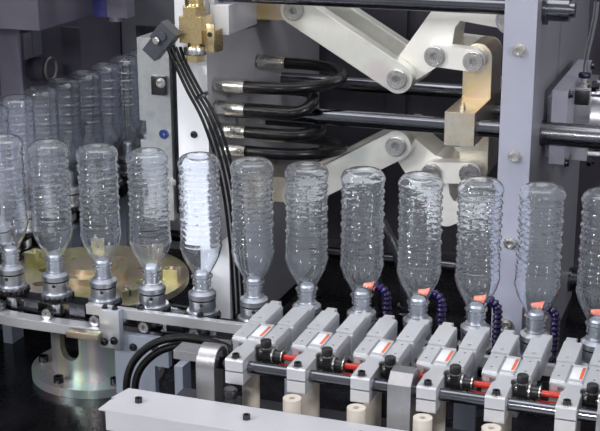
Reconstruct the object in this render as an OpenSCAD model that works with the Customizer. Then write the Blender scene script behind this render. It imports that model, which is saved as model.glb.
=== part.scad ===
// Linear blow moulding machine for small clear bottles.
// Axes: X along the front bottle line, Y from front to rear, Z up from the floor.
// The line's own origin is the support ring of the bottle at station 0.

/* [Table] */
// Length of the table along the front bottle line
table_l = 1640; // [1600:10:1720]
// Room on the table in front of the front line
front_room = 440; // [430:5:470]
// Room on the table behind the platens
rear_room = 102; // [98:1:130]
// Thickness of the table plate
table_t = 20; // [15:1:25]
// Height of the table top above the floor
table_h = 850; // [800:10:900]
// Side of the square frame members
frame_tube = 80; // [70:2:90]
// Height of the frame's legs above the floor, on their feet
foot_h = 60; // [50:1:75]
// Diameter of a levelling foot
foot_d = 80; // [70:2:90]
// Height of the rear and left guard walls above the table
guard_h = 780; // [740:10:820]
// Side of the square guard posts
guard_post = 40; // [36:1:44]

/* [Bottle line] */
// Distance from one bottle to the next along the chain
pitch = 85.6; // [84:0.2:88]
// Length of the front run from station 0 to the wheel
run_l = 465; // [455:1:475]
// Height of the bottles' support rings above the table
ring_h = 283; // [275:1:290]
// Distance of station 0 to the right of the table's centre
line_x = 120; // [115:1:125]

/* [Bottle] */
// Body diameter of a bottle
bottle_d = 65; // [62:0.5:66]
// Height from the support ring to the base
bottle_h = 190; // [180:1:200]
// Outer diameter of the neck
neck_d = 27; // [26:0.5:28]
// Length of the neck past the support ring
neck_l = 18; // [16:0.5:19]
// Diameter of the support ring
neck_ring_d = 34; // [32:0.5:36]
// Thickness of the neck wall
neck_wall = 2; // [1.8:0.1:2.5]
// Number of ribs round the body
rib_count = 9; // [7:1:10]
// Depth of a rib
rib_depth = 2.4; // [1.5:0.1:3]

/* [Mandrel] */
// Diameter of the mandrel's collar
collar_d = 43; // [41:0.5:45]
// Depth of the collar's top below the support ring
collar_drop = 22; // [21:0.5:24]
// Diameter of the toothed crown
crown_d = 50; // [48:0.5:51]
// Number of teeth on the crown
crown_teeth = 16; // [12:1:18]
// Depth of the chain's middle below the support ring
chain_drop = 84; // [82:1:88]
// Diameter of the stem that carries a mandrel in the chain
stem_d = 22; // [20:0.5:24]
// Width of a chain plate
link_w = 30; // [28:0.5:31]
// Thickness of a chain plate
link_t = 3; // [2.5:0.1:3.2]
// Diameter of a side roller
roller_d = 17; // [16:0.5:18]
// Width of a side roller
roller_w = 10; // [8:0.5:10]

/* [Rails] */
// Thickness of the front rail
rail_t = 10; // [8:0.5:12]
// Height of the front rail
rail_h = 16; // [14:0.5:18]
// Width of the curved rail under the rollers
curve_w = 24; // [22:0.5:26]
// Height of the curved rail
curve_h = 16; // [14:0.5:18]

/* [Chain wheel] */
// Diameter of the wheel disc
disc_d = 334; // [326:1:336]
// Thickness of the wheel disc
disc_t = 12; // [10:0.5:14]
// Diameter of the wheel shaft
wheel_shaft_d = 60; // [56:1:64]
// Outer diameter of the bearing housing
housing_d = 162; // [156:1:168]
// Wall of the bearing housing
housing_wall = 14; // [12:0.5:16]
// Diameter of the bearing housing's flange
flange_d = 236; // [230:1:240]
// Thickness of the bearing housing's flange
flange_t = 16; // [14:0.5:18]

/* [Clamp] */
// Distance of the clamp's front edge behind the front line
clamp_front = 270; // [265:1:275]
// Depth of the platens
platen_w = 588; // [584:1:596]
// Height of the platens' top above the support rings
platen_top = 440; // [430:1:450]
// Distance of the tail platen's left face to the right of station 0
tail_x = 232; // [230:0.5:236]
// Thickness of the tail platen
tail_t = 50; // [46:1:54]
// Thickness of the moving platen
moving_t = 57; // [54:1:60]
// Thickness of the fixed platen
fixed_t = 60; // [54:1:64]
// Distance of the fixed platen's face to the left of the left bottle line
mould_back = 84; // [80:1:90]
// Diameter of a tie bar
tie_d = 25; // [23:0.5:27]
// Diameter of a crosshead guide rod
rod_d = 28; // [26:0.5:30]
// Thickness of the mould plates
mould_t = 60; // [56:1:62]
// Diameter of the clamp cylinder
cylinder_d = 110; // [100:1:116]
// Diameter of the piston rod
piston_d = 32; // [28:0.5:34]

/* [Toggle] */
// Distance from the tail pins to the tail platen's face
tail_pin_out = 24; // [24:0.5:26]
// Reach of the platen pins from the moving platen's face
platen_pin_out = 103; // [100:1:108]
// Length between the pins of each main link
link_l = 218.4; // [217:0.2:219]
// Angle by which the open toggle is folded
fold = 30.1; // [29.5:0.1:30.4]
// Height of the upper platen pin above the clamp's middle
pin_rise = 169; // [168:0.5:170]
// Height of the clamp's middle above the support rings
clamp_mid = 180; // [179:0.5:181]
// Distance of the toggle's middle plane behind the front line
toggle_y = 493; // [491:0.5:495]
// Thickness of the middle layer of links
core_t = 84; // [82:0.5:85]
// Thickness of an outer link plate
plate_t = 30; // [28:0.5:31]
// Width of a front link
front_link_w = 52; // [50:0.5:54]
// Diameter of a link pin
pin_d = 22; // [20:0.5:24]
// Diameter of a pin's head
pin_head_d = 35; // [33:0.5:37]

/* [Grippers] */
// Distance of the turning shaft in front of the front line
shaft_front = 265; // [262:0.5:268]
// Depth of the turning shaft below the support rings
shaft_drop = 17; // [16:0.5:18]
// Diameter of the turning shaft
shaft_d = 16; // [15:0.5:18]
// Width of an arm's split clamp
arm_w = 25; // [23:0.5:27]
// Height of an arm's split clamp
arm_h = 34; // [32:0.5:36]
// Width of a gripper body
grip_w = 62; // [58:0.5:64]
// Width of a gripper finger
finger_w = 24; // [22:0.5:25]
// Gap between a pair of open fingers
finger_gap = 18; // [17:0.5:20]
// Travel of each finger
finger_travel = 6; // [5:0.5:7]
// Diameter of a stop post
post_d = 24; // [22:0.5:26]
// Distance of the stop posts from the shaft
post_out = 36; // [35:0.5:38]
// Thickness of the front cover sheet
cover_t = 2; // [1.5:0.1:3]
// Depth of the front cover
cover_w = 70; // [66:1:74]

/* [Clearances] */
// Radial clearance of a pin, rod or shaft in its bore
run_gap = 0.08; // [0.05:0.01:0.1]
// Side clearance between neighbouring links
side_gap = 1; // [0.8:0.1:1.2]
// Gap between pieces that are seated but not joined
seat_gap = 0.3; // [0.2:0.05:0.4]
// Extra radial clearance at the open pivot of a crosshead link
open_gap = 1.7; // [1.6:0.1:2]

/* [Hidden] */
$fn = 48;

// Line frame
wheel_pitches = 14; // pitches round the whole chain wheel
right_stations = 6; // last station in reach of the grippers
first_station = -7; // station inside the drive housing
last_station = 17; // station inside the oven housing
ring_z = table_h + ring_h;
table_d = front_room + clamp_front + platen_w + rear_room;
line_y = front_room - table_d / 2;
table_z = -ring_h;
right_edge = table_l / 2 - line_x;
rear_edge = table_d / 2 - line_y;
drive_x = right_stations * pitch + 50;
oven_y = clamp_front + platen_w + 10;
wheel_r = wheel_pitches * pitch / 360 * 180 / PI;
bend_l = wheel_r * PI / 2;
left_x = -run_l - wheel_r;

// Chain and mandrel heights, from the support ring down
outer_z = 12;
inner_z = 8;
crown_top = -(chain_drop - outer_z - link_t) + 12;
crown_bottom = crown_top - 11;
stem_end = -(chain_drop + outer_z + link_t + 10);
roller_in = 26;
roller_z = -chain_drop - 1;
curve_top = roller_z - roller_d / 2 - seat_gap;
rail_top = -54;
disc_top = -100;
housing_top = disc_top - disc_t - 6;

// Clamp
moving_x = tail_x - tail_pin_out - 2 * link_l * cos(fold) - platen_pin_out;
fixed_x = left_x - mould_back;
tail_pin_x = tail_x - tail_pin_out;
knee_x = tail_pin_x - link_l * cos(fold);
knee_rise = pin_rise - link_l * sin(fold);
platen_pin_x = knee_x - link_l * cos(fold);
lug_x = tail_pin_x - 124;
lug_rise = pin_rise - 66;
cross_x = tail_pin_x - 57;
cross_rise = pin_rise - 71;
tie_high = platen_top - 53;
tie_low = table_z + 55;
tie_front = clamp_front + 40;
tie_low_front = clamp_front + 115;
tie_rear = clamp_front + platen_w - 53;
guide_y = [toggle_y - 143, toggle_y + 143];
core_y = toggle_y - core_t / 2;
outer_y = [core_y - side_gap - plate_t, core_y + core_t + side_gap];
mould_y = clamp_front + 2;
mould_w = platen_w - 60;
cross_w = 50;
cross_top = 29;
insulator_t = 14;

// Grippers
gripper_count = right_stations + 1;
shaft_y = -shaft_front;
controller_out = 39;
shaft_z = -shaft_drop;
arm_front = 22;
arm_back = 50;
grip_l = 55;
finger_l = 100;
post_top = shaft_z - arm_h / 2 - seat_gap;
base_top = -92;
cover_z = -50;
cover_rear = shaft_y - post_out - post_d / 2 - 3;

// Place of station k as [x, y, heading], heading 0 along the front line
function station(k) =
    let (s = k * pitch, bend = (s - run_l) / wheel_r * 180 / PI)
    s <= run_l ? [-s, 0, 0]
    : s <= run_l + bend_l ? [-run_l - wheel_r * sin(bend), wheel_r * (1 - cos(bend)), bend]
    : [left_x, wheel_r + s - run_l - bend_l, 90];

module line() {
    translate([line_x, line_y, ring_z]) children();
}

module at_station(k) {
    p = station(k);
    translate([p[0], p[1], 0]) rotate([0, 0, -p[2]]) children();
}

// Flat bar with round ends between two points of a plane, its sides drawn in a little from the ends
side_step = 0.2;

module bar2d(a, b, r) {
    d = b - a;
    w = r - side_step;
    translate(a) circle(r);
    translate(b) circle(r);
    translate(a) rotate(atan2(d[1], d[0])) translate([0, -w]) square([norm(d), 2 * w]);
}

// Extrudes a profile of the X-Z plane from y to y + t
module slab(y, t) {
    translate([0, y + t, 0]) rotate([90, 0, 0]) linear_extrude(t) children();
}

// Cylinder along X or Y, from its lower end
module rod_x(x, y, z, d, l) {
    translate([x, y, z]) rotate([0, 90, 0]) cylinder(h = l, d = d);
}

module rod_y(x, y, z, d, l) {
    translate([x, y, z]) rotate([-90, 0, 0]) cylinder(h = l, d = d);
}

module block(x, y, z, l, w, h) {
    translate([x, y, z]) cube([l, w, h]);
}

// Round tube swept along points, as one closed mesh
function unit(v) = v / norm(v);
function path_dir(p, i) = unit(p[min(i + 1, len(p) - 1)] - p[max(i - 1, 0)]);
function side_dir(t, up) = unit(cross(t, up));
function ring_points(c, t, up, r, n) =
    let (a = side_dir(t, up), b = cross(a, t))
    [for (j = [0:n - 1]) c + r * (cos(360 * j / n) * a + sin(360 * j / n) * b)];
// Smooth curve through hand-chosen points, with m steps for each stretch
function blend4(a, b, c, d, t) = 0.5 * (2 * b + (c - a) * t + (2 * a - 5 * b + 4 * c - d) * t * t
    + (3 * b - a - 3 * c + d) * t * t * t);
function smooth_path(p, m) = [
    for (i = [0:len(p) - 2], j = [0:m - 1])
        blend4(p[max(i - 1, 0)], p[i], p[i + 1], p[min(i + 2, len(p) - 1)], j / m),
    p[len(p) - 1]];

module tube(points, d, up = [0, 1, 0], sides = 8) {
    n = len(points);
    rings = [for (i = [0:n - 1]) each ring_points(points[i], path_dir(points, i), up, d / 2, sides)];
    walls = [for (i = [0:n - 2], j = [0:sides - 1]) let (k = (j + 1) % sides) each [
        [i * sides + j, i * sides + k, (i + 1) * sides + k],
        [i * sides + j, (i + 1) * sides + k, (i + 1) * sides + j]]];
    first = [for (j = [sides - 1:-1:0]) j];
    last = [for (j = [0:sides - 1]) (n - 1) * sides + j];
    polyhedron(points = rings, faces = concat([first], walls, [last]), convexity = 4);
}

// Base of the machine

leg_x = [-table_l / 2, -frame_tube / 2, table_l / 2 - frame_tube];
leg_y = [-table_d / 2, table_d / 2 - frame_tube];
rail_z = [foot_h + 60, table_h - table_t - frame_tube];

module base_frame() color("dimgray") {
    for (x = leg_x, y = leg_y)
        block(x, y, foot_h, frame_tube, frame_tube, table_h - table_t - foot_h);
    for (y = leg_y, z = rail_z)
        block(-table_l / 2, y, z, table_l, frame_tube, frame_tube);
    for (x = leg_x, z = rail_z)
        block(x, -table_d / 2, z, frame_tube, table_d, frame_tube);
}

module leveling_foot() {
    cylinder(h = 14, d = foot_d);
    translate([0, 0, 14]) cylinder(h = 10, d1 = foot_d * 0.6, d2 = 34);
    cylinder(h = foot_h, d = 20);
    translate([0, 0, foot_h - 14]) cylinder(h = 14, d = 34, $fn = 6);
}

module leveling_feet() color("silver")
    for (x = leg_x, y = leg_y)
        translate([x + frame_tube / 2, y + frame_tube / 2, 0]) leveling_foot();

module table_plate() color([0.12, 0.12, 0.14])
    block(-table_l / 2, -table_d / 2, table_h - table_t, table_l, table_d, table_t);

panel_inset = 6;
panel_t = 16;
panel_z = rail_z[0] + frame_tube + seat_gap;
panel_h = rail_z[1] - rail_z[0] - frame_tube - 2 * seat_gap;

// Folded tray panel, l long, seen from -Y, with a row of slots and a grip recess
module panel(l) {
    difference() {
        cube([l, panel_t, panel_h]);
        translate([2, 2, 2]) cube([l - 4, panel_t, panel_h - 4]);
        for (i = [0:8])
            translate([l / 2 - 100 + i * 22, -1, 60]) cube([8, 6, 110]);
        translate([l / 2 - 50, -1, panel_h - 60]) cube([100, 6, 24]);
    }
}

module base_panels() color([0.86, 0.87, 0.88]) {
    bay_l = leg_x[1] - leg_x[0] - frame_tube - 2 * seat_gap;
    side_l = table_d - 2 * frame_tube - 2 * seat_gap;
    for (x = [leg_x[0], leg_x[1]]) {
        translate([x + frame_tube + seat_gap, -table_d / 2 + panel_inset, panel_z]) panel(bay_l);
        translate([x + frame_tube + seat_gap + bay_l, table_d / 2 - panel_inset, panel_z])
            rotate([0, 0, 180]) panel(bay_l);
    }
    translate([-table_l / 2 + panel_inset, table_d / 2 - frame_tube - seat_gap, panel_z])
        rotate([0, 0, -90]) panel(side_l);
    translate([table_l / 2 - panel_inset, -table_d / 2 + frame_tube + seat_gap, panel_z])
        rotate([0, 0, 90]) panel(side_l);
}

module guard_walls() color([0.2, 0.2, 0.23]) {
    rear_y = table_d / 2 - guard_post;
    for (x = [-table_l / 2, -guard_post / 2, table_l / 2 - guard_post])
        block(x, rear_y, table_h, guard_post, guard_post, guard_h);
    block(-table_l / 2, -table_d / 2, table_h, guard_post, guard_post, guard_h);
    for (z = [table_h, table_h + guard_h - guard_post]) {
        block(-table_l / 2, rear_y, z, table_l, guard_post, guard_post);
        block(-table_l / 2, -table_d / 2, z, guard_post, table_d, guard_post);
    }
    block(-table_l / 2, rear_y + guard_post / 2, table_h, table_l, 3, guard_h);
    block(-table_l / 2 + guard_post / 2, -table_d / 2, table_h, 3, table_d, guard_h);
}

module oven_housing() color([0.45, 0.46, 0.5]) line() {
    w = 170;
    y = oven_y;
    d = rear_edge - guard_post - y - seat_gap;
    difference() {
        block(left_x - w / 2, y, table_z, w, d, 330 - table_z);
        block(left_x - 50, y - 1, table_z + 120, 100, d - 3, bottle_h + 40 - table_z - 120);
    }
}

portal_z = -115;
portal_over = 50;
portal_w = 100;
drive_front = shaft_y - 80;
drive_rear = portal_w / 2 + 60;
drive_low = shaft_z + 77;
roof_z = bottle_h + portal_over + 35;

module drive_housing() color([0.62, 0.63, 0.67]) line() {
    x0 = drive_x;
    w = right_edge - x0 - 2;
    difference() {
        translate([x0, 0, 0]) rotate([90, 0, 90]) linear_extrude(w)
            polygon([[drive_front, table_z], [drive_rear, table_z], [drive_rear, roof_z - 30],
                [drive_rear - 40, roof_z], [-portal_w / 2 - 10, roof_z], [shaft_y + 65, drive_low],
                [drive_front, drive_low]]);
        block(x0 - 1, -portal_w / 2, portal_z, w - 8, portal_w, bottle_h + portal_over - portal_z);
        rod_x(x0 - 1, shaft_y, shaft_z, shaft_d + 2 * run_gap, w - 20);
    }
}

// Clamp

module tie_holes(x, t, gap) {
    for (p = [[tie_front, tie_high], [tie_rear, tie_high], [tie_low_front, tie_low], [tie_rear, tie_low]])
        rod_x(x - 1, p[0], p[1], tie_d + 2 * gap, t + 2);
}

module tie_bars() color([0.25, 0.26, 0.3]) line() {
    x0 = fixed_x - fixed_t;
    x1 = tail_x + tail_t;
    for (p = [[tie_front, tie_high], [tie_rear, tie_high], [tie_low_front, tie_low], [tie_rear, tie_low]]) {
        rod_x(x0 - 32, p[0], p[1], tie_d, x1 - x0 + 80);
        rod_x(x0 - 26, p[0], p[1], 2 * tie_d, 26);
        rod_x(x1, p[0], p[1], 1.5 * tie_d, 40);
        rod_x(x1, p[0], p[1], 2 * tie_d, 6);
    }
}

// Beam over the open mould, and what stands beside the bottles on the fixed platen
beam_out = 148;
beam_w = 230;
beam_z = 314;
holder_out = 42;
holder_y = 366;
rear_wall_y = 600;
ejector_y = 478;
ejector_z = 202;

module fixed_platen() color([0.3, 0.31, 0.36]) line()
    difference() {
        union() {
            block(fixed_x - fixed_t, clamp_front, table_z, fixed_t, platen_w, platen_top - table_z);
            block(fixed_x - 1, clamp_front, beam_z, beam_out + 1, beam_w, platen_top - beam_z);
            block(fixed_x - 1, rear_wall_y, 165, holder_out + 2, 8, 100);
            rod_x(fixed_x - 1, ejector_y, ejector_z, 46, holder_out - 4);
            rod_x(fixed_x, ejector_y, ejector_z, 34, holder_out + 2);
        }
        tie_holes(fixed_x - fixed_t, fixed_t + beam_out, run_gap);
    }

module fixed_mould_plate() color("silver") line() {
    x0 = fixed_x + seat_gap;
    difference() {
        union() {
            block(x0, mould_y, -10, mould_t / 2, mould_w, 160);
            block(x0, holder_y, -10, holder_out, 10, 310);
        }
        for (k = [10:14])
            rod_x(x0 + mould_t / 2 - 12, station(k)[1], 40, 40, 20);
    }
    block(x0, holder_y + 50, 230, 25, 30, 50);
    block(x0, holder_y + 83, 230, 25, 32, 50);
    // Valve under the beam's end, with its round cap
    block(fixed_x + beam_out + seat_gap, clamp_front + 200, beam_z - 3, 71, 30, 70);
    translate([fixed_x + beam_out + 41, clamp_front + 215, beam_z - 11]) cylinder(h = 9, d = 32);
}

module tail_platen() color([0.66, 0.68, 0.78]) line()
    difference() {
        union() {
            block(tail_x, clamp_front - 20, table_z, tail_t, platen_w + 20, platen_top - table_z);
            for (y = outer_y, side = [1, -1])
                slab(y, plate_t)
                    bar2d([tail_pin_x, clamp_mid + side * pin_rise], [tail_x, clamp_mid + side * pin_rise], 23);
        }
        tie_holes(tail_x, tail_t, run_gap);
        for (y = guide_y)
            rod_x(tail_x - 1, y, clamp_mid, rod_d + 2 * run_gap, tail_t + 2);
        rod_x(tail_x - 1, toggle_y, clamp_mid, piston_d + 2 * run_gap, tail_t + 2);
        for (side = [1, -1])
            rod_y(tail_pin_x, outer_y[0] - 1, clamp_mid + side * pin_rise, pin_d + 2 * run_gap,
                outer_y[1] + plate_t - outer_y[0] + 2);
    }

module guide_sleeves() color("silver") line()
    for (y = guide_y)
        difference() {
            union() {
                rod_x(tail_x + tail_t, y, clamp_mid, rod_d + 10, 150);
                rod_x(tail_x + tail_t, y, clamp_mid, rod_d + 15, 3);
            }
            rod_x(tail_x + tail_t - 1, y, clamp_mid, rod_d + 2 * run_gap, 160);
        }

// Pin through all link layers with a socketed head at the front and a collar at the rear
module link_pin(x, z) {
    y0 = outer_y[0] - seat_gap;
    y1 = outer_y[1] + plate_t + seat_gap;
    difference() {
        union() {
            rod_y(x, y0 - 7, z, pin_d, y1 - y0 + 14);
            rod_y(x, y0 - 7, z, pin_head_d, 7);
            rod_y(x, y1, z, pin_head_d, 7);
        }
        translate([x, y0 - 8, z]) rotate([-90, 0, 0]) cylinder(h = 9, d = 12, $fn = 6);
    }
}

module tail_pins() color("silver") line()
    for (side = [1, -1]) link_pin(tail_pin_x, clamp_mid + side * pin_rise);

// Plate that carries the cylinder, on a distance block behind the tail platen
bracket_x = tail_x + tail_t + 14;
bracket_t = 25;

module clamp_cylinder() color("silver") line() {
    x0 = bracket_x + bracket_t;
    difference() {
        union() {
            rod_x(x0, toggle_y, clamp_mid, cylinder_d, 150);
            for (x = [x0, x0 + 128])
                block(x, toggle_y - 62, clamp_mid - 62, 26, 124, 124);
            for (y = [-52, 52], z = [-52, 52])
                rod_x(x0, toggle_y + y, clamp_mid + z, 12, 162);
        }
        rod_x(x0 - 1, toggle_y, clamp_mid, piston_d + 2 * run_gap, 120);
    }
}

module cylinder_bracket() color([0.62, 0.64, 0.7]) line()
    difference() {
        union() {
            block(bracket_x, guide_y[0] - 2, clamp_mid - 50, bracket_t, guide_y[1] - guide_y[0] + 4, 122);
            block(tail_x + tail_t + seat_gap, guide_y[0] + 40, clamp_mid - 50,
                bracket_x - tail_x - tail_t, guide_y[1] - guide_y[0] - 80, 100);
        }
        for (y = guide_y)
            rod_x(bracket_x - 1, y, clamp_mid, rod_d + 10 + 2 * seat_gap, bracket_t + 2);
        rod_x(tail_x + tail_t, toggle_y, clamp_mid, piston_d + 4, bracket_t + 20);
    }

module moving_platen() color([0.9, 0.9, 0.92]) line() {
    x0 = moving_x - moving_t;
    difference() {
        union() {
            slab(clamp_front, platen_w) translate([x0, -55]) square([moving_t, platen_top + 55]);
            block(x0, clamp_front + 80, table_z + 13, moving_t, platen_w - 80, -table_z - 13);
            for (p = [[tie_front, tie_high], [tie_rear, tie_high]])
                rod_x(moving_x, p[0], p[1], tie_d + 30, 10);
        }
        tie_holes(x0, moving_t + 12, run_gap);
        for (y = guide_y)
            rod_x(moving_x - 30, y, clamp_mid, rod_d + 2 * run_gap, 40);
    }
}

module moving_mould_plate() color("silver") line() {
    x1 = moving_x - moving_t - insulator_t;
    difference() {
        union() {
            block(x1 - mould_t, mould_y, -10, mould_t, mould_w, 322);
            block(x1, mould_y + 20, 0, insulator_t, mould_w - 40, 300);
        }
        for (k = [10:14], z = [40, 150])
            rod_x(x1 - mould_t - 1, station(k)[1], z, 40, 13);
    }
}

module guide_rods() color([0.3, 0.31, 0.36]) line()
    for (y = guide_y)
        rod_x(moving_x - 30 + seat_gap, y, clamp_mid, rod_d, tail_x + tail_t + 125 - moving_x);

module platen_lugs() color([0.86, 0.76, 0.5]) line()
    for (side = [1, -1])
        difference() {
            union() {
                slab(core_y, core_t)
                    bar2d([moving_x + 24, clamp_mid + side * pin_rise],
                        [platen_pin_x, clamp_mid + side * pin_rise], 24);
                block(moving_x, core_y - 34, clamp_mid + side * pin_rise - 38, 14, core_t + 68, 76);
            }
            rod_y(platen_pin_x, core_y - 1, clamp_mid + side * pin_rise, pin_d + 2 * run_gap, core_t + 2);
        }

module platen_pins() color("silver") line()
    for (side = [1, -1]) link_pin(platen_pin_x, clamp_mid + side * pin_rise);

// Toggle links, drawn for the upper half and mirrored about the clamp's middle

module half(side) {
    translate([0, 0, clamp_mid]) mirror([0, 0, side < 0 ? 1 : 0]) children();
}

module rear_link() {
    knee = [knee_x, knee_rise];
    corner = [tail_pin_x - 104, pin_rise + 14];
    difference() {
        slab(core_y, core_t) {
            bar2d(knee, corner, 25);
            bar2d(corner, [tail_pin_x, pin_rise], 21);
            translate([lug_x, lug_rise]) circle(23);
            polygon([knee + [7, -20], [lug_x + 3, lug_rise - 20], [lug_x + 20, lug_rise],
                [lug_x + 28, pin_rise - 4], corner + [0, 10], knee]);
        }
        for (p = [knee, [lug_x, lug_rise], [tail_pin_x, pin_rise]])
            rod_y(p[0], core_y - 1, p[1], pin_d + 2 * run_gap, core_t + 2);
    }
}

module front_link() {
    for (y = outer_y)
        difference() {
            slab(y, plate_t) bar2d([platen_pin_x, pin_rise], [knee_x, knee_rise], front_link_w / 2);
            rod_y(platen_pin_x, y - 1, pin_rise, pin_d + 2 * run_gap, plate_t + 2);
            rod_y(knee_x, y - 1, knee_rise, pin_d + 2 * run_gap, plate_t + 2);
        }
}

module crosshead_link() {
    for (y = outer_y)
        difference() {
            slab(y, plate_t) bar2d([lug_x, lug_rise], [cross_x, cross_rise], 19);
            rod_y(lug_x, y - 1, lug_rise, pin_d + 2 * run_gap, plate_t + 2);
            rod_y(cross_x, y - 1, cross_rise, pin_d + 2 * open_gap, plate_t + 2);
        }
}

module rear_link_upper() color([0.93, 0.93, 0.9]) line() half(1) rear_link();
module rear_link_lower() color([0.93, 0.93, 0.9]) line() half(-1) rear_link();
module front_link_upper() color([0.93, 0.93, 0.92]) line() half(1) front_link();
module front_link_lower() color([0.93, 0.93, 0.92]) line() half(-1) front_link();
module crosshead_link_upper() color([0.93, 0.93, 0.9]) line() half(1) crosshead_link();
module crosshead_link_lower() color([0.93, 0.93, 0.9]) line() half(-1) crosshead_link();

module upper_link_pins() color("silver") line() half(1) {
    link_pin(knee_x, knee_rise);
    link_pin(lug_x, lug_rise);
}

module lower_link_pins() color("silver") line() half(-1) {
    link_pin(knee_x, knee_rise);
    link_pin(lug_x, lug_rise);
}

module crosshead() color([0.86, 0.74, 0.5]) line() {
    x0 = cross_x - cross_w / 2;
    y0 = guide_y[0] - 24;
    difference() {
        union() {
            block(x0, y0, clamp_mid - 27, cross_w, guide_y[1] - guide_y[0] + 48, 27 + cross_top);
            slab(core_y, core_t)
                bar2d([cross_x, clamp_mid - cross_rise], [cross_x, clamp_mid + cross_rise], cross_w / 2);
            translate([cross_x, y0 + 22, clamp_mid + cross_top]) cylinder(h = 5, d = 10, $fn = 6);
            translate([cross_x, y0 + 22, clamp_mid + cross_top + 5]) cylinder(h = 8, d1 = 8, d2 = 5);
        }
        for (y = guide_y)
            rod_x(x0 - 1, y, clamp_mid, rod_d + 2 * run_gap, cross_w + 2);
        for (side = [1, -1])
            rod_y(cross_x, core_y - 1, clamp_mid + side * cross_rise, pin_d + 2 * run_gap, core_t + 2);
        rod_x(cross_x, toggle_y, clamp_mid, piston_d + 2 * run_gap, cross_w);
    }
}

module crosshead_pins() color("silver") line()
    for (side = [1, -1]) link_pin(cross_x, clamp_mid + side * cross_rise);

module piston_rod() color("silver") line()
    rod_x(cross_x + seat_gap, toggle_y, clamp_mid, piston_d, bracket_x + bracket_t + 95 - cross_x);

// Hoses and valve on the moving platen

hose_d = 21;
hose_rows = [53, 13, -26, -60];
hose_y = clamp_front + 30;
ferrule_l = 36;
nut_l = 20;

// One hose end, pointing along +X from the platen's face
module hose_end() {
    rod_x(0, 0, 0, 14, nut_l);
    translate([4, 0, 0]) rotate([0, 90, 0]) cylinder(h = nut_l - 4, d = 27, $fn = 6);
    rod_x(nut_l, 0, 0, 23, ferrule_l - 4);
    rod_x(nut_l + ferrule_l - 4, 0, 0, 21.5, 4);
}

// Each hose turns back to a second port, further back and, for the upper two, higher
loop_dy = [200, 60, 104, 200];
loop_dz = [6, 28, 0, -20];
loop_x = [93, 134, 120, 93];

module hose_fittings() color("silver") line() {
    for (z = hose_rows)
        translate([moving_x, hose_y, clamp_mid + z]) hose_end();
    for (i = [0:3])
        translate([moving_x, hose_y + loop_dy[i], clamp_mid + hose_rows[i] + loop_dz[i]]) hose_end();
}

hose_x = nut_l + ferrule_l + seat_gap;

// Centre line of hose i: out along X, round a half circle in its own tilted plane, and back
function loop_path(i) =
    let (side = [0, loop_dy[i], loop_dz[i]], d = norm(side))
    concat([[hose_x, 0, 0]],
        [for (a = [-90:15:90]) [loop_x[i] + d / 2 * cos(a), 0, 0] + side * (0.5 + 0.5 * sin(a))],
        [[hose_x, 0, 0] + side]);

module hydraulic_hoses() color([0.1, 0.1, 0.12]) line()
    for (i = [0:3])
        translate([moving_x, hose_y, clamp_mid + hose_rows[i]])
            tube(loop_path(i), hose_d, up = [0, -loop_dz[i], loop_dy[i]], sides = 12);

valve_x = moving_x - 8;
valve_y = clamp_front - 28;

module blow_valve() color([0.85, 0.68, 0.35]) line() {
    block(valve_x - 20, valve_y - 18, 316, 40, 46 - seat_gap, 44);
    translate([valve_x, valve_y, 360]) cylinder(h = 16, d = 42, $fn = 6);
    translate([valve_x, valve_y, 376]) cylinder(h = 40, d = 30);
    translate([valve_x, valve_y, 416]) cylinder(h = 18, d = 40, $fn = 6);
    translate([valve_x, valve_y, 296]) cylinder(h = 20, d = 26);
    translate([valve_x, valve_y, 284]) cylinder(h = 12, d = 34, $fn = 6);
    block(valve_x + 20, valve_y - 4, 300, 18, 32, 36);
}

connector_z = 330;

module valve_connector() color([0.28, 0.3, 0.35]) line()
    translate([valve_x - 38, valve_y - 30, connector_z]) rotate([0, 40, 0]) {
        block(-17, -14, -17, 34, 26, 34);
        block(-14, -12, -44, 28, 22, 28);
        rod_y(0, -18, 0, 14, 6);
    }

cable_d = 6;
cable_paths = [for (i = [0:3]) [
    [valve_x - 46 + i * 6, valve_y - 12 + i * 4, connector_z - 24],
    [valve_x - 34 + i * 5, valve_y - 10 + i * 4, 280],
    [valve_x - 14 + i * 6, valve_y - 8 + i * 4, 236],
    [valve_x + 10 + i * 7, valve_y - 2 + i * 4, 186],
    [valve_x + 30 + i * 7, valve_y + 4 + i * 4, 120],
    [valve_x + 42 + i * 7, valve_y + 10 + i * 4, 50],
    [valve_x + 48 + i * 7, valve_y + 16 + i * 4, -30],
    [valve_x + 50 + i * 7, valve_y + 20 + i * 4, -90],
    [valve_x + 52 + i * 7, valve_y + 22 + i * 4, -180],
    [valve_x + 52 + i * 7, valve_y + 22 + i * 4, table_z + 2]]];

module valve_cables() color([0.08, 0.08, 0.1]) line() {
    for (p = cable_paths) tube(smooth_path(p, 2), cable_d);
}

// Chain wheel

module wheel_housing() color([0.68, 0.72, 0.66]) line()
    translate([-run_l, wheel_r, 0]) difference() {
        union() {
            translate([0, 0, table_z]) cylinder(h = flange_t, d = flange_d);
            translate([0, 0, table_z]) cylinder(h = housing_top - table_z, d = housing_d);
        }
        translate([0, 0, table_z + flange_t + 4])
            cylinder(h = housing_top - table_z - flange_t - 26, d = housing_d - 2 * housing_wall);
        translate([0, 0, table_z + 6]) cylinder(h = -table_z, d = wheel_shaft_d + 2 * run_gap);
        translate([-12, 0, 0]) rotate([90, 0, 0]) linear_extrude(housing_d) {
            translate([0, -212]) circle(20);
            translate([-20, -212]) square([40, 50]);
        }
        for (a = [0:60:300])
            rotate([0, 0, a + 15]) translate([100, 0, table_z + 6]) cylinder(h = flange_t, d = 11 + 2 * run_gap);
    }

module clamp_block() {
    difference() {
        translate([-13, -14, 0]) cube([26, 28, 20]);
        translate([-14, -2, 8]) cube([28, 4, 13]);
    }
    translate([0, 0, 8]) cylinder(h = 16, d = 9);
}

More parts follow.
